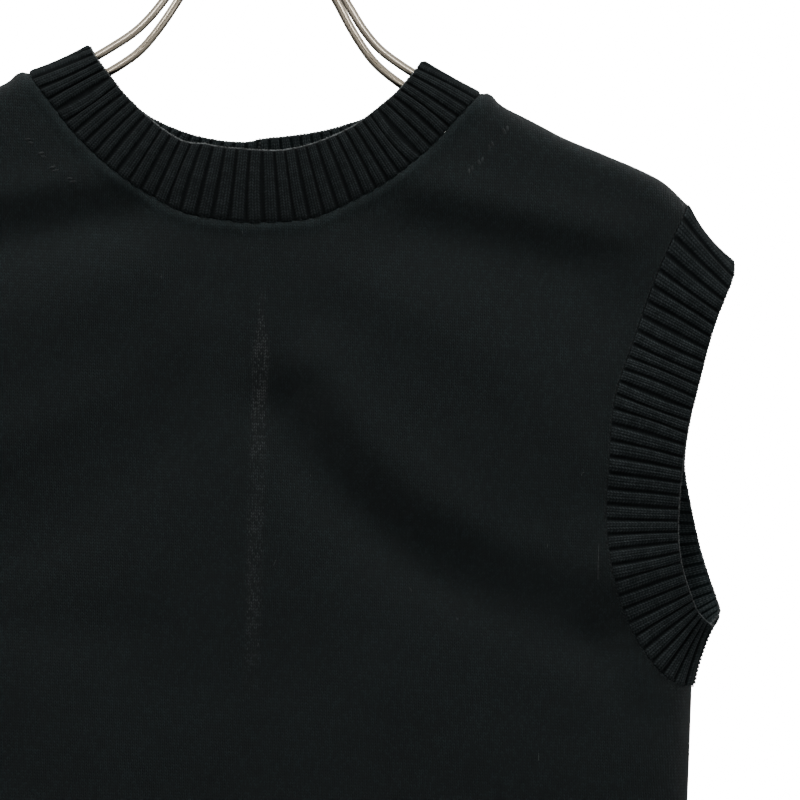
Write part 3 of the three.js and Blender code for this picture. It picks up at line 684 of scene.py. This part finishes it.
def stripeShare(uv, u, v):                           # how strongly the bright column shows
    slope = (stripe["lowAcross"] - stripe["topAcross"]) / (stripe["lowDrop"] - stripe["topDrop"])
    middle = stripe["topAcross"] * mm - (v + stripe["topDrop"] * mm) * slope
    widening = between(v, -(stripe["widensBy"] + 6) * mm, -(stripe["widensBy"] - 8) * mm)
    half = (stripe["wide"] - widening * (stripe["wide"] - stripe["narrow"])) * mm
    drift = (grain(uv, 40, 2) - 0.5) * (3 * mm)
    inStripe = 1 - between(maths("ABSOLUTE", u - middle + drift) / half, 0.55, 1.15)
    ends = between(v, -0.36, -0.3) * (1 - between(v, -0.132, -0.125))
    strongest = between(v, -0.215, -0.18)
    patchy = between(grain(uv, 70, 2), 0.4, 0.62)
    return inStripe * ends * (0.25 + strongest * 0.4 + patchy * 0.35)


# inside: how much paler the inner face of a rib band is painted, as painted light where it lies in shade.
def knitMaterial(name, ribbed=False, striped=False, scale=1, inside=3):
    material, sock, shader = newMaterial(name)
    uv = sock.node("ShaderNodeUVMap", {"uv_map": "stitches"})
    u = uv.node("ShaderNodeSeparateXYZ", {}, {0: uv})
    v = second(u, 1)
    wobble = (grain(uv, 60, 1) - 0.5) * ((0.2 if ribbed else 0.9) * mm)
    columns = (u + wobble) / (yarn["wale"] * mm)
    across = maths("ABSOLUTE", maths("FRACT", columns) - 0.5)
    courses = v / (yarn["course"] * mm) + across * 1.3
    legs = maths("SINE", maths("FRACT", columns * 2) * math.pi)
    beads = maths("SINE", maths("FRACT", courses) * math.pi)
    chance = randomAt(columns * 2, courses)
    stitch = legs * beads
    uneven = grain(uv, 900, 2, 0.6)
    soft = grain(uv, 16, 3, 0.55)
    blotch = grain(uv, 130, 2, 0.6)
    # Painted highlight and painted shade: each stitch's legs are painted lighter and the hollows between them
    # darker, and lit sets each stitch's painted highlight at random.
    lit = chance * 0.5 + 0.28 if ribbed else chance * chance * chance * 1.5 + 0.16
    tone = (0.1 + stitch * lit + legs * 0.06) * (0.35 + blotch * 1.0) * (0.6 + soft * 0.8) + uneven * 0.07
    if ribbed:
        repeat = maths("FRACT", u / (4 * yarn["wale"] * mm))
        proud = between(repeat, 0.17, 0.32) * (1 - between(repeat, 0.68, 0.83))
        inner = sock.node("ShaderNodeAttribute", {"attribute_name": "innerSide"}, out="Fac")
        # Painted shade: the low columns between the ribs are painted darker, as the shade that falls between the
        # proud ones.
        tone = tone * (0.3 + proud * 1.1)
        stitch = stitch * proud
    else:
        # Painted highlight along the low ridge beside the neck seam.
        beside = sock.node("ShaderNodeAttribute", {"attribute_name": "besideNeck"}, out="Fac")
        tone = tone * (1 + beside * 1.0)
    high = knitLook["ribHigh"] if ribbed else knitLook["high"]
    color = mixColor(tone, rgba(knitLook["low"]), rgba(high, scale))
    if ribbed:                                       # painted light: the inside lies in shade, and its colour is painted paler
        color = mixColor(inner, color, mixColor(tone, rgba(knitLook["low"], inside), rgba(high, inside)))
    if striped:
        sparkle = between(chance, 0.1, 1) * between(stitch, 0.2, 0.9)
        color = mixColor(stripeShare(uv, u, v) * (sparkle + 0.02), color, rgba(knitLook["stripe"]))
    cells = uv.node("ShaderNodeTexVoronoi", {}, {"Vector": uv, "Scale": 90.0})
    chosen = between(uv.node("ShaderNodeSeparateColor", {}, {0: second(cells, "Color")}), 0.95, 0.97)
    lint = chosen * (1 - between(cells, 0.03, 0.07))
    color = mixColor(lint * 0.6, color, rgba(knitLook["fleck"]))
    feed(color, shader.inputs["Base Color"])
    height = stitch * (0.5 + chance * 0.5) + legs * 0.3 + uneven * 0.5
    bump = stitch.node("ShaderNodeBump", {}, {"Height": height, "Distance": 0.6 * mm,
                                             "Strength": knitLook["bump"]})
    feed(bump, shader.inputs["Normal"])
    shader.inputs["Roughness"].default_value = knitLook["roughness"]
    shader.inputs["Specular IOR Level"].default_value = 0.1 if ribbed else 0.25
    shader.inputs["Sheen Weight"].default_value = 0.02 if ribbed else knitLook["sheen"]
    shader.inputs["Sheen Roughness"].default_value = 0.45
    return material


# The yarns' colours. rim is painted pale: painted rim light on the bound-off edges and their knots.
yarnLook = dict(rim=(0.12, 0.13, 0.13), link=(0.012, 0.0155, 0.016), mark=(0.028, 0.033, 0.033), lint=(0.11, 0.115, 0.11), roughness=0.8)


def yarnMaterial(name, color):
    material, sock, shader = newMaterial(name)
    coords = sock.node("ShaderNodeTexCoord", out="Object")
    fibres = grain(coords, 1800, 2, 0.6)
    patches = grain(coords, 420, 2)
    tone = fibres * 0.5 + patches
    feed(mixColor(between(tone, 0.5, 1.0), rgba(color, 0.15), rgba(color, 1.7)), shader.inputs["Base Color"])
    bump = fibres.node("ShaderNodeBump", {}, {"Height": fibres, "Distance": 0.2 * mm, "Strength": 0.5})
    feed(bump, shader.inputs["Normal"])
    shader.inputs["Roughness"].default_value = yarnLook["roughness"]
    shader.inputs["Specular IOR Level"].default_value = 0.25
    shader.inputs["Sheen Weight"].default_value = 0.15
    return material


wireLook = dict(color=(0.66, 0.575, 0.45), roughness=0.12)


def wireMaterial():
    material, sock, shader = newMaterial("satin_nickel")
    coords = sock.node("ShaderNodeTexCoord", out="Object")
    cloudy = grain(coords, 45, 3, 0.55)
    fine = grain(coords, 2600, 1)
    tone = between(cloudy, 0.25, 0.75)
    feed(mixColor(tone, rgba(wireLook["color"], 0.9), rgba(wireLook["color"], 1.06)), shader.inputs["Base Color"])
    feed(wireLook["roughness"] + cloudy * 0.08 + fine * 0.06, shader.inputs["Roughness"])
    bump = fine.node("ShaderNodeBump", {}, {"Height": fine, "Distance": 0.02 * mm, "Strength": 0.25})
    feed(bump, shader.inputs["Normal"])
    shader.inputs["Metallic"].default_value = 1
    return material


plainKnit = knitMaterial("black_plain_knit")
stripedKnit = knitMaterial("black_plain_knit_front", striped=True)
# Painted sheen: scale paints the rib yarn lighter in place of the sheen it lacks, the armbands and hem more than
# the neck band, so one yarn has a lighter and a darker copy.
ribKnit = knitMaterial("black_rib_knit", ribbed=True, scale=2.5, inside=6)
neckKnit = knitMaterial("black_rib_knit_neck", ribbed=True, scale=1.6, inside=4)
paintedRimLightYarn = yarnMaterial("bound_off_yarn_painted_rim_light", yarnLook["rim"])
linkYarn = yarnMaterial("linking_yarn", yarnLook["link"])
markYarn = yarnMaterial("seam_yarn", yarnLook["mark"])
lintFibre = yarnMaterial("pale_lint", yarnLook["lint"])
satinNickel = wireMaterial()
frontBody.data.materials.append(stripedKnit)
backBody.data.materials.append(plainKnit)
neckRib.data.materials.append(neckKnit)
for piece in (armRight, armLeft, hemRib):
    piece.data.materials.append(ribKnit)
print("materials made")


# Geometry Nodes: a tree takes a line of points with an "outward" direction and named inputs.
def newTree(name, inputs):
    tree = bpy.data.node_groups.new(name, "GeometryNodeTree")
    tree.interface.new_socket("Geometry", in_out="INPUT", socket_type="NodeSocketGeometry")
    tree.interface.new_socket("Geometry", in_out="OUTPUT", socket_type="NodeSocketGeometry")
    for label, kind in inputs.items():
        tree.interface.new_socket(label, in_out="INPUT", socket_type="NodeSocket" + kind)
    source, result = tree.nodes.new("NodeGroupInput"), tree.nodes.new("NodeGroupOutput")

    def add(kind, settings=None, values=None, out=0):
        made = tree.nodes.new(kind)
        for key, value in (settings or {}).items():
            setattr(made, key, value)
        for key, value in (values or {}).items():
            if isinstance(value, bpy.types.NodeSocket):
                tree.links.new(value, made.inputs[key])
            else:
                made.inputs[key].default_value = value
        return made.outputs[out]
    return tree, source.outputs, result.inputs[0], add


def runTree(name, tree, values, points, normals=None, closed=False):
    mesh = bpy.data.meshes.new(name)
    chains = points if isinstance(points, list) else [points]
    edges, first = [], 0
    for chain in chains:
        count = len(chain)
        edges += [(first + k, first + (k + 1) % count) for k in range(count if closed else count - 1)]
        first += count
    mesh.from_pydata(np.concatenate(chains).tolist(), edges, [])
    if normals is not None:
        mesh.attributes.new("outward", "FLOAT_VECTOR", "POINT").data.foreach_set(
            "vector", np.asarray(normals, np.float32).ravel())
    piece = bpy.data.objects.new(name, mesh)
    bpy.context.scene.collection.objects.link(piece)
    modifier = piece.modifiers.new("build", "NODES")
    modifier.node_group = tree
    for item in tree.interface.items_tree:
        if item.in_out == "INPUT" and item.name in values:
            modifier[item.identifier] = values[item.name]
    graph = bpy.context.evaluated_depsgraph_get()
    made = bpy.data.meshes.new_from_object(piece.evaluated_get(graph))
    piece.modifiers.remove(modifier)
    piece.data = made
    made.name = name
    made.shade_smooth()
    return piece


def stitchTree():
    tree, given, result, add = newTree("row_of_stitches", {
        "Spacing": "Float", "Size": "Vector", "Slant": "Float", "Wander": "Float", "Seed": "Int",
        "Yarn": "Material"})
    line = add("GeometryNodeMeshToCurve", {}, {0: given["Geometry"]})
    even = add("GeometryNodeResampleCurve", {"mode": "LENGTH"}, {"Curve": line, "Length": given["Spacing"]})
    bead = add("GeometryNodeMeshIcoSphere", {}, {"Radius": 0.5, "Subdivisions": 2})
    sized = add("GeometryNodeTransform", {}, {"Geometry": bead, "Scale": given["Size"]})
    outward = add("GeometryNodeInputNamedAttribute", {"data_type": "FLOAT_VECTOR"}, {"Name": "outward"})
    along = add("GeometryNodeInputTangent")
    upright = add("FunctionNodeAlignRotationToVector", {"axis": "Z"}, {"Vector": outward})
    facing = add("FunctionNodeAlignRotationToVector", {"axis": "X", "pivot_axis": "Z"},
                 {"Rotation": upright, "Vector": along})
    laid = add("GeometryNodeInstanceOnPoints", {}, {"Points": even, "Instance": sized, "Rotation": facing})
    low = add("ShaderNodeMath", {"operation": "SUBTRACT"}, {0: given["Slant"], 1: given["Wander"]})
    high = add("ShaderNodeMath", {"operation": "ADD"}, {0: given["Slant"], 1: given["Wander"]})
    angle = add("FunctionNodeRandomValue", {"data_type": "FLOAT"}, {2: low, 3: high, "Seed": given["Seed"]}, 1)
    turn = add("ShaderNodeCombineXYZ", {}, {2: angle})
    turned = add("GeometryNodeRotateInstances", {}, {"Instances": laid, "Rotation": turn, "Local Space": True})
    scale = add("FunctionNodeRandomValue", {"data_type": "FLOAT"}, {2: 0.86, 3: 1.12, "Seed": given["Seed"]}, 1)
    varied = add("GeometryNodeScaleInstances", {}, {"Instances": turned, "Scale": scale, "Local Space": True})
    solid = add("GeometryNodeRealizeInstances", {}, {0: varied})
    tree.links.new(add("GeometryNodeSetMaterial", {}, {"Geometry": solid, "Material": given["Yarn"]}), result)
    return tree


def sweepTree():
    tree, given, result, add = newTree("bent_wire", {
        "Radius": "Float", "Step": "Float", "Sides": "Int", "Metal": "Material"})
    line = add("GeometryNodeMeshToCurve", {}, {0: given["Geometry"]})
    even = add("GeometryNodeResampleCurve", {"mode": "LENGTH"}, {"Curve": line, "Length": given["Step"]})
    section = add("GeometryNodeCurvePrimitiveCircle", {}, {"Resolution": given["Sides"],
                                                          "Radius": given["Radius"]})
    tube = add("GeometryNodeCurveToMesh", {}, {"Curve": even, "Profile Curve": section, "Fill Caps": True})
    solid = add("GeometryNodeRealizeInstances", {}, {0: tube})
    tree.links.new(add("GeometryNodeSetMaterial", {}, {"Geometry": solid, "Material": given["Metal"]}), result)
    return tree


stitches, sweep = stitchTree(), sweepTree()

# Bound-off free edges: a chain of slanted stitches, one to each column of the rib. Their yarn is painted pale as
# painted rim light.
rimStitch = dict(spacing=1.9, size=(2.6, 1.3, 1.5), slant=0.5, wander=0.3)


def boundEdge(name, rim, seed):
    values = {"Spacing": rimStitch["spacing"] * mm, "Size": tuple(s * mm for s in rimStitch["size"]),
              "Slant": rimStitch["slant"], "Wander": rimStitch["wander"], "Seed": seed, "Yarn": paintedRimLightYarn}
    return runTree(name, stitches, values, rim["points"], rim["normals"], closed=True)


neckEdge = boundEdge("neck_bound_edge", neckRim, 11)
armRightEdge = boundEdge("arm_bound_edge_right", armRightRim, 12)
armLeftEdge = boundEdge("arm_bound_edge_left", armLeftRim, 13)
hemEdge = boundEdge("hem_bound_edge", hemRim, 14)

# Linking: a row of short slanted stitches on the body side of a seam
linkStitch = dict(spacing=2.7, size=(2.3, 0.8, 0.6), slant=0.35, wander=0.2, inset=1.0)


def linkRow(name, parts, which, sizes, seed, yarnUsed):
    chains = []
    for face, side, turned in parts:
        chain = edgeChain(face, side, which)
        chains.append(chain[::-1] if turned else chain)
    loop = np.concatenate([readCurve(chain, np.linspace(0, 1, 160, endpoint=False)) for chain in chains])
    points, normals = loop[:, :3], unit(loop[:, 3:])
    along = unit(np.roll(points, -1, 0) - np.roll(points, 1, 0))
    inward = unit(np.cross(normals, along))
    middle = np.array([0, 0, points[:, 2].mean()])
    if which == "neck":
        inward *= np.sign(dot(inward, points - middle))
    else:
        inward *= np.sign(dot(inward, middle - points))
    points = points + inward * sizes["inset"] * mm + normals * 0.1 * mm
    values = {"Spacing": sizes["spacing"] * mm, "Size": tuple(s * mm for s in sizes["size"]),
              "Slant": sizes["slant"], "Wander": sizes["wander"], "Seed": seed, "Yarn": yarnUsed}
    return runTree(name, stitches, values, points, normals, closed=True)


neckParts = [(front, 1, False), (front, -1, True), (back, -1, False), (back, 1, True)]
neckLinking = linkRow("neck_linking", neckParts, "neck", linkStitch, 21, linkYarn)
armLinking = [
    linkRow("arm_linking_" + name, [(front, side, False), (back, side, True)], "arm",
            dict(linkStitch, size=(2, 0.6, 0.4), inset=0.8), seed, linkYarn)
    for name, side, seed in (("right", 1, 22), ("left", -1, 23))
]


# Where a band's two ends are joined: a short row of stitches down its inside
joinStitch = dict(spacing=2.1, size=(2.6, 1.5, 1.1), slant=0.7, wander=0.25)


def stitchValues(sizes, seed, yarnUsed):
    return {"Spacing": sizes["spacing"] * mm, "Size": tuple(s * mm for s in sizes["size"]),
            "Slant": sizes["slant"], "Wander": sizes["wander"], "Seed": seed, "Yarn": yarnUsed}


def joinRow(name, rim, turn, seed, layer="inside"):
    column = int(turn * rim[layer].shape[1])
    points, facing = rim[layer][:, column], rim["facing"][:, column] * (1 if layer == "inside" else -1)
    return runTree(name, stitches, stitchValues(joinStitch, seed, markYarn), points + facing * 0.1 * mm, facing)


joins = [joinRow("neck_join", neckRim, 0.752, 31), joinRow("arm_join_right", armRightRim, 0.5, 32),
         joinRow("arm_join_left", armLeftRim, 0.5, 33), joinRow("hem_join", hemRim, 0.5, 34),
         joinRow("arm_fold_right", armRightRim, 0.5, 37, "outside"),
         joinRow("arm_fold_left", armLeftRim, 0.5, 38, "outside")]
# The knot of yarn ends at the lowest point of each armband's edge, in the edge's yarn with its painted rim light
knotStitch = dict(spacing=1.3, size=(2.1, 1.1, 1.2), slant=0.5, wander=0.8)


def edgeKnot(name, rim, seed):
    near = len(rim["points"]) // 2 + np.arange(-5, 6)
    points, normals = rim["points"][near], rim["normals"][near]
    out = rim["facing"][-1][near] * -1
    rows = np.concatenate([points, (points + out * 0.8 * mm)[::-1], points + out * 1.5 * mm])
    return runTree(name, stitches, stitchValues(knotStitch, seed, paintedRimLightYarn), rows, np.tile(normals, (3, 1)))


knots = [edgeKnot("arm_knot_right", armRightRim, 35), edgeKnot("arm_knot_left", armLeftRim, 36)]
# Fashioning marks beside the neck: single slanted stitches, as across and drop
markStitch = dict(spacing=2.4, size=(3.2, 1.3, 1.1), slant=0.9, wander=0.3, apart=2.4)
markRuns = [
    (front, [(136, 35.7), (128.4, 44.8), (123.4, 53.1), (118.2, 58)]),
    (front, [(-118.8, 53.3), (-111.5, 60.5), (-104.7, 67.7), (-95.2, 73.3)]),
    (back, [(138, 30), (128, 41.5), (121, 52.5), (112, 61)]),
    (back, [(-138, 30), (-127.5, 41), (-120, 51.5), (-111, 60.5)]),
]


def fashionMarks(face, run, seed):
    half = np.array([0.7, 0.7 * (-1 if run[0][0] > 0 else 1)]) * markStitch["apart"] / 2
    pairs = [clothPoint(face, *np.array([spot - half, spot + half]).T) for spot in np.array(run)]
    name = "marks_" + face["name"] + ("_right" if run[0][0] > 0 else "_left")
    return runTree(name, stitches, stitchValues(markStitch, seed, markYarn), [points for points, _ in pairs],
                   np.concatenate([normals for _, normals in pairs]))


marks = [fashionMarks(face, run, 40 + k) for k, (face, run) in enumerate(markRuns)]
# Lint: short pale fibres lying on the cloth, as across, drop and length
lintSpots = [(-2.5, 96, 2), (196, 252, 22), (16, 316, 2), (257.5, 106, 3), (225, 163, 3), (225.6, 213, 3),
             (246, 118, 3)]


def lintRuns(face, spots, seed):
    rng = np.random.default_rng(seed)
    runs = []
    for across, drop, length in spots:
        turn, bend = rng.normal(math.pi / 2, 0.25), rng.normal(0, 0.9)
        along = np.linspace(-0.5, 0.5, 8)
        heading = turn + bend * along
        x = across + length * np.cumsum(np.cos(heading)) / 8
        y = drop + length * np.cumsum(np.sin(heading)) / 8
        points, normals = clothPoint(face, x, y)
        runs.append(points + normals * 0.3 * mm)
    return runs


def strewn(seed, count):
    rng = np.random.default_rng(seed)
    return [(rng.uniform(-190, 190), rng.uniform(130, 540), rng.uniform(1.5, 6)) for _ in range(count)]


def lint(name, face, spots, seed):
    values = {"Radius": 0.1 * mm, "Step": 0.8 * mm, "Sides": 5, "Metal": lintFibre}
    return runTree(name, sweep, values, lintRuns(face, spots, seed))


frontLint = lint("lint_front", front, [spot for spot in lintSpots if abs(spot[0]) < 230] + strewn(51, 14), 52)
backLint = lint("lint_back", back, strewn(53, 18), 54)
print("stitches laid")

# The hanger: each arm is one wire bent to a hairpin, from the collar out and back
wire = dict(radius=2.4, lean=1.3, sides=24, step=2.2, seatFrom=150, seatTo=204, reach=214, seatClear=1.1,
            frontOff=-6, backOff=12, backLower=8.5, gap=0.3)
collar = dict(radius=7.5, height=14, bottomDrop=-104, wireSpacing=2.7, straight=5)
frontRun = dict(
    across=[7.5, 14.5, 25, 37.5, 50, 57.5, 66, 78, 92, 118],
    drop=[-93, -80, -64, -45.5, -27, -16.4, -7.3, 1.3, 9.5, 21.5],
    off=[-3.2, -3.8, -4.4, -5, -5.6, -6, -6, -6, -6, -6],
)
backRun = dict(
    across=[6, 11, 20, 31.5, 43.5, 50, 57.5, 62, 67, 78, 92, 112],
    drop=[-93, -80.5, -66, -48, -28.6, -17.6, -6.6, -1.1, 3.7, 11.6, 19.3, 28.5],
    off=[3.6, 5, 6.5, 8, 9.5, 9.5, 9.5, 9.5, 9.5, 9.5, 9.8, 10.5],
)


def underShoulder(across, depth, off):               # square in from the outside of the shoulder line
    slope = (shoulderDrop(across + 1) - shoulderDrop(across - 1)) / 2
    length = math.hypot(1, slope)
    return [across - depth * slope / length, off, shoulderDrop(across) + depth / length]


def hangerArm(name, side):
    seat = garment["wall"] + wire["seatClear"] + wire["radius"]
    rows = lambda table: [list(row) for row in zip(table["across"], table["off"], table["drop"])]
    ends = lambda way: [[collar["wireSpacing"], way * collar["wireSpacing"], collar["bottomDrop"] + below]
                        for below in (wire["gap"], collar["straight"])]
    seats = [wire["seatFrom"], (wire["seatFrom"] + wire["seatTo"]) / 2, wire["seatTo"]]
    higher = [underShoulder(across, seat, wire["frontOff"]) for across in seats]
    lower = [underShoulder(across, seat + wire["backLower"], wire["backOff"]) for across in seats]
    turn = []
    for share in (0.25, 0.5, 0.75):
        swung = (1 - math.cos(math.pi * share)) / 2
        across = wire["seatTo"] + (wire["reach"] - wire["seatTo"]) * math.sin(math.pi * share)
        off = wire["frontOff"] + (wire["backOff"] - wire["frontOff"]) * swung
        turn.append(underShoulder(across, seat + wire["backLower"] * swung, off))
    points = ends(-1) + rows(frontRun) + higher + turn + lower[::-1] + rows(backRun)[::-1] + ends(1)[::-1]
    path = smoothPath(points)
    leaning = np.exp(-(((path[:, 0] - 68) / 26) ** 2)) * (path[:, 1] < 0)
    path[:, 2] += side * wire["lean"] * leaning      # the front runs sit unevenly, as in the photo
    path = place(side * path[:, 0], path[:, 1], path[:, 2])
    return runTree(name, sweep, {"Radius": wire["radius"] * mm, "Step": wire["step"] * mm,
                                 "Sides": wire["sides"], "Metal": satinNickel}, path)


def hangerHook():
    bend = dict(radius=26, start=205, end=-40, step=17.5)
    out = bend["radius"] + wire["radius"]
    angles = np.radians(np.arange(bend["start"], bend["end"] - 0.1, -bend["step"]))
    points = [[out * math.cos(a), 0, out * math.sin(a) - bend["radius"]] for a in angles]
    stemBottom = -hookToShoulder - collar["bottomDrop"] + collar["height"] + wire["gap"]
    points += [[9, 0, -58], [2.2, 0, -65], [0, 0, stemBottom + 2], [0, 0, stemBottom]]
    return runTree("hook_wire", sweep, {"Radius": wire["radius"] * mm, "Step": 1.5 * mm,
                                        "Sides": wire["sides"], "Metal": satinNickel}, smoothPath(points) * mm)


def hangerCollar():
    radius, height = collar["radius"], collar["height"]
    bead, groove = 0.8, 0.45
    profile = [(0, 0), (radius - 1.8, 0), (radius - bead, 0.25), (radius - 0.2, bead), (radius, 1.5),
               (radius, 3.2), (radius - groove, 3.5), (radius - groove, 4.1), (radius, 4.4),
               (radius, height - 4.4), (radius - groove, height - 4.1), (radius - groove, height - 3.5),
               (radius, height - 3.2), (radius, height - 1.5), (radius - 0.2, height - bead),
               (radius - bead, height - 0.25), (radius - 1.8, height), (0, height)]
    sides = 48
    angles = np.linspace(0, 2 * np.pi, sides, endpoint=False)
    bottom = -hookToShoulder - collar["bottomDrop"]
    vertices, faces = [(0, 0, bottom)], []
    for r, z in profile[1:-1]:
        vertices += [(r * math.cos(a), r * math.sin(a), bottom + z) for a in angles]
    vertices.append((0, 0, bottom + height))
    rings = len(profile) - 2
    for k in range(sides):
        nextK = (k + 1) % sides
        faces.append((0, 1 + nextK, 1 + k))
        for ring in range(rings - 1):
            a, b = 1 + ring * sides, 1 + (ring + 1) * sides
            faces.append((a + k, a + nextK, b + nextK, b + k))
        last = 1 + (rings - 1) * sides
        faces.append((last + k, last + nextK, len(vertices) - 1))
    mesh = bpy.data.meshes.new("collar_ferrule")
    mesh.from_pydata([tuple(c * mm for c in vertex) for vertex in vertices], [], faces)
    mesh.materials.append(satinNickel)
    mesh.shade_smooth()
    piece = bpy.data.objects.new("collar_ferrule", mesh)
    bpy.context.scene.collection.objects.link(piece)
    return piece


wireRight, wireLeft = hangerArm("arm_wire_right", 1), hangerArm("arm_wire_left", -1)
hookWire, ferrule = hangerHook(), hangerCollar()
print("hanger made")

# The frame: what each piece stands for and the record's slot of its finish
pieces = [
    (frontBody, "plain_knit", ["front_panel"]),
    (backBody, "plain_knit", ["back_panel"]),
    (neckRib, "rib_knit", ["neck_band"]),
    (armRight, "rib_knit", ["armband_right"]),
    (armLeft, "rib_knit", ["armband_left"]),
    (hemRib, "rib_knit", ["hem_band"]),
    (wireRight, "satin_wire", ["hanger_arm_right"]),
    (wireLeft, "satin_wire", ["hanger_arm_left"]),
    (ferrule, "satin_wire", ["hanger_collar"]),
    (hookWire, "satin_wire", ["hanger_hook"]),
    (neckEdge, "rib_knit", []),
    (armRightEdge, "rib_knit", []),
    (armLeftEdge, "rib_knit", []),
    (hemEdge, "rib_knit", []),
    (neckLinking, "plain_knit", []),
]
pieces += [(piece, "plain_knit", []) for piece in armLinking + marks + [frontLint, backLint]]
pieces += [(piece, "rib_knit", []) for piece in joins + knots]
for piece, slot, nodes in pieces:
    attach(piece, "root")
    if nodes:
        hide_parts(*nodes)


def flatArea(piece):                                 # a thin shell has two layers
    return sum(face.area for face in piece.data.polygons) / 2


for piece in (frontBody, backBody, neckRib, armRight, armLeft, hemRib):
    print(piece.name, "area", round(flatArea(piece), 4), "triangles", 2 * len(piece.data.polygons))

# The room: a pale floor, white surroundings and soft lights
studio = dict(floorDrop=-1.25, floorRadius=3.2, white=19.0, floorGlow=2.2, ambient=0.06, mirrored=0.55, strip=11.0, dark=0.03)


def studioFloor():
    mesh = bpy.data.meshes.new("floor")
    count = 96
    angles = np.linspace(0, 2 * np.pi, count, endpoint=False)
    ring = [(studio["floorRadius"] * math.cos(a), studio["floorRadius"] * math.sin(a), studio["floorDrop"])
            for a in angles]
    mesh.from_pydata(ring, [], [tuple(range(count))])
    floor = bpy.data.objects.new("floor", mesh)
    bpy.context.scene.collection.objects.link(floor)
    material, sock, shader = newMaterial("pale_floor")
    coords = sock.node("ShaderNodeTexCoord", out="Object")
    feed(mixColor(grain(coords, 3, 2), rgba((0.86, 0.86, 0.86)), rgba((0.9, 0.9, 0.9))),
         shader.inputs["Base Color"])
    shader.inputs["Roughness"].default_value = 0.8
    seen = sock.node("ShaderNodeLightPath", out="Is Camera Ray")
    glow = mixColor(seen, rgba((0, 0, 0)), rgba((1, 1, 1)))
    feed(glow, shader.inputs["Emission Color"])      # pale to the camera, and no light from below
    shader.inputs["Emission Strength"].default_value = studio["floorGlow"]
    mesh.materials.append(material)


def studioWorld():                                   # white to the camera, softer as a light
    world = bpy.data.worlds.new("studio")
    bpy.context.scene.world = world
    world.use_nodes = True
    tree = world.node_tree
    tree.nodes.clear()
    sock = Sock(tree)
    seen = sock.node("ShaderNodeLightPath", out="Is Camera Ray")
    glossy = second(seen, "Is Glossy Ray")
    direction = sock.node("ShaderNodeTexCoord", out="Generated")
    upward = second(direction.node("ShaderNodeSeparateXYZ", {}, {0: direction}), 2)
    strip = between(upward, 0.26, 0.3) * (1 - between(upward, 0.34, 0.39))
    shade = between(upward, 0.02, 0.08) * (1 - between(upward, 0.18, 0.25))
    mirrored = studio["mirrored"] + strip * studio["strip"] - shade * (studio["mirrored"] - studio["dark"])
    strength = studio["ambient"] + seen * (studio["white"] - studio["ambient"])
    strength = strength + glossy * (mirrored - studio["ambient"])
    sky = strength.node("ShaderNodeBackground", {}, {"Color": (1, 1, 1, 1), "Strength": strength})
    output = tree.nodes.new("ShaderNodeOutputWorld")
    feed(sky, output.inputs["Surface"])


def softLight(name, at, towards, size, power):
    data = bpy.data.lights.new(name, "AREA")
    data.shape, data.size, data.energy = "DISK", size, power
    lamp = bpy.data.objects.new(name, data)
    bpy.context.scene.collection.objects.link(lamp)
    lamp.location = at
    turn = np.array(towards) - np.array(at)
    lamp.rotation_euler = (math.atan2(math.hypot(turn[0], turn[1]), -turn[2]), 0,
                           math.atan2(turn[1], turn[0]) - math.pi / 2)
    lamp.visible_camera = False


view = dict(across=86, drop=182.9, distance=3, scale=0.54, roll=-2.6)   # scale: millimetres a pixel


def photoCamera():
    data = bpy.data.cameras.new("photo_camera")
    data.sensor_width = 36
    data.lens = data.sensor_width * view["distance"] / (view["scale"] * 800 * mm)
    camera = bpy.data.objects.new("photo_camera", data)
    bpy.context.scene.collection.objects.link(camera)
    camera.location = place(view["across"], 0, view["drop"]) - np.array([0, view["distance"], 0])
    camera.rotation_euler = (math.radians(90), math.radians(view["roll"]), 0)
    bpy.context.scene.camera = camera


studioFloor()
studioWorld()
softLight("key", (-0.1, -0.6, 0.85), (0.05, 0, -0.35), 0.6, 12.4)
softLight("fill", (1.7, -1.5, -0.5), (0.1, 0, -0.4), 1.2, 4.2)
photoCamera()

print("finished")
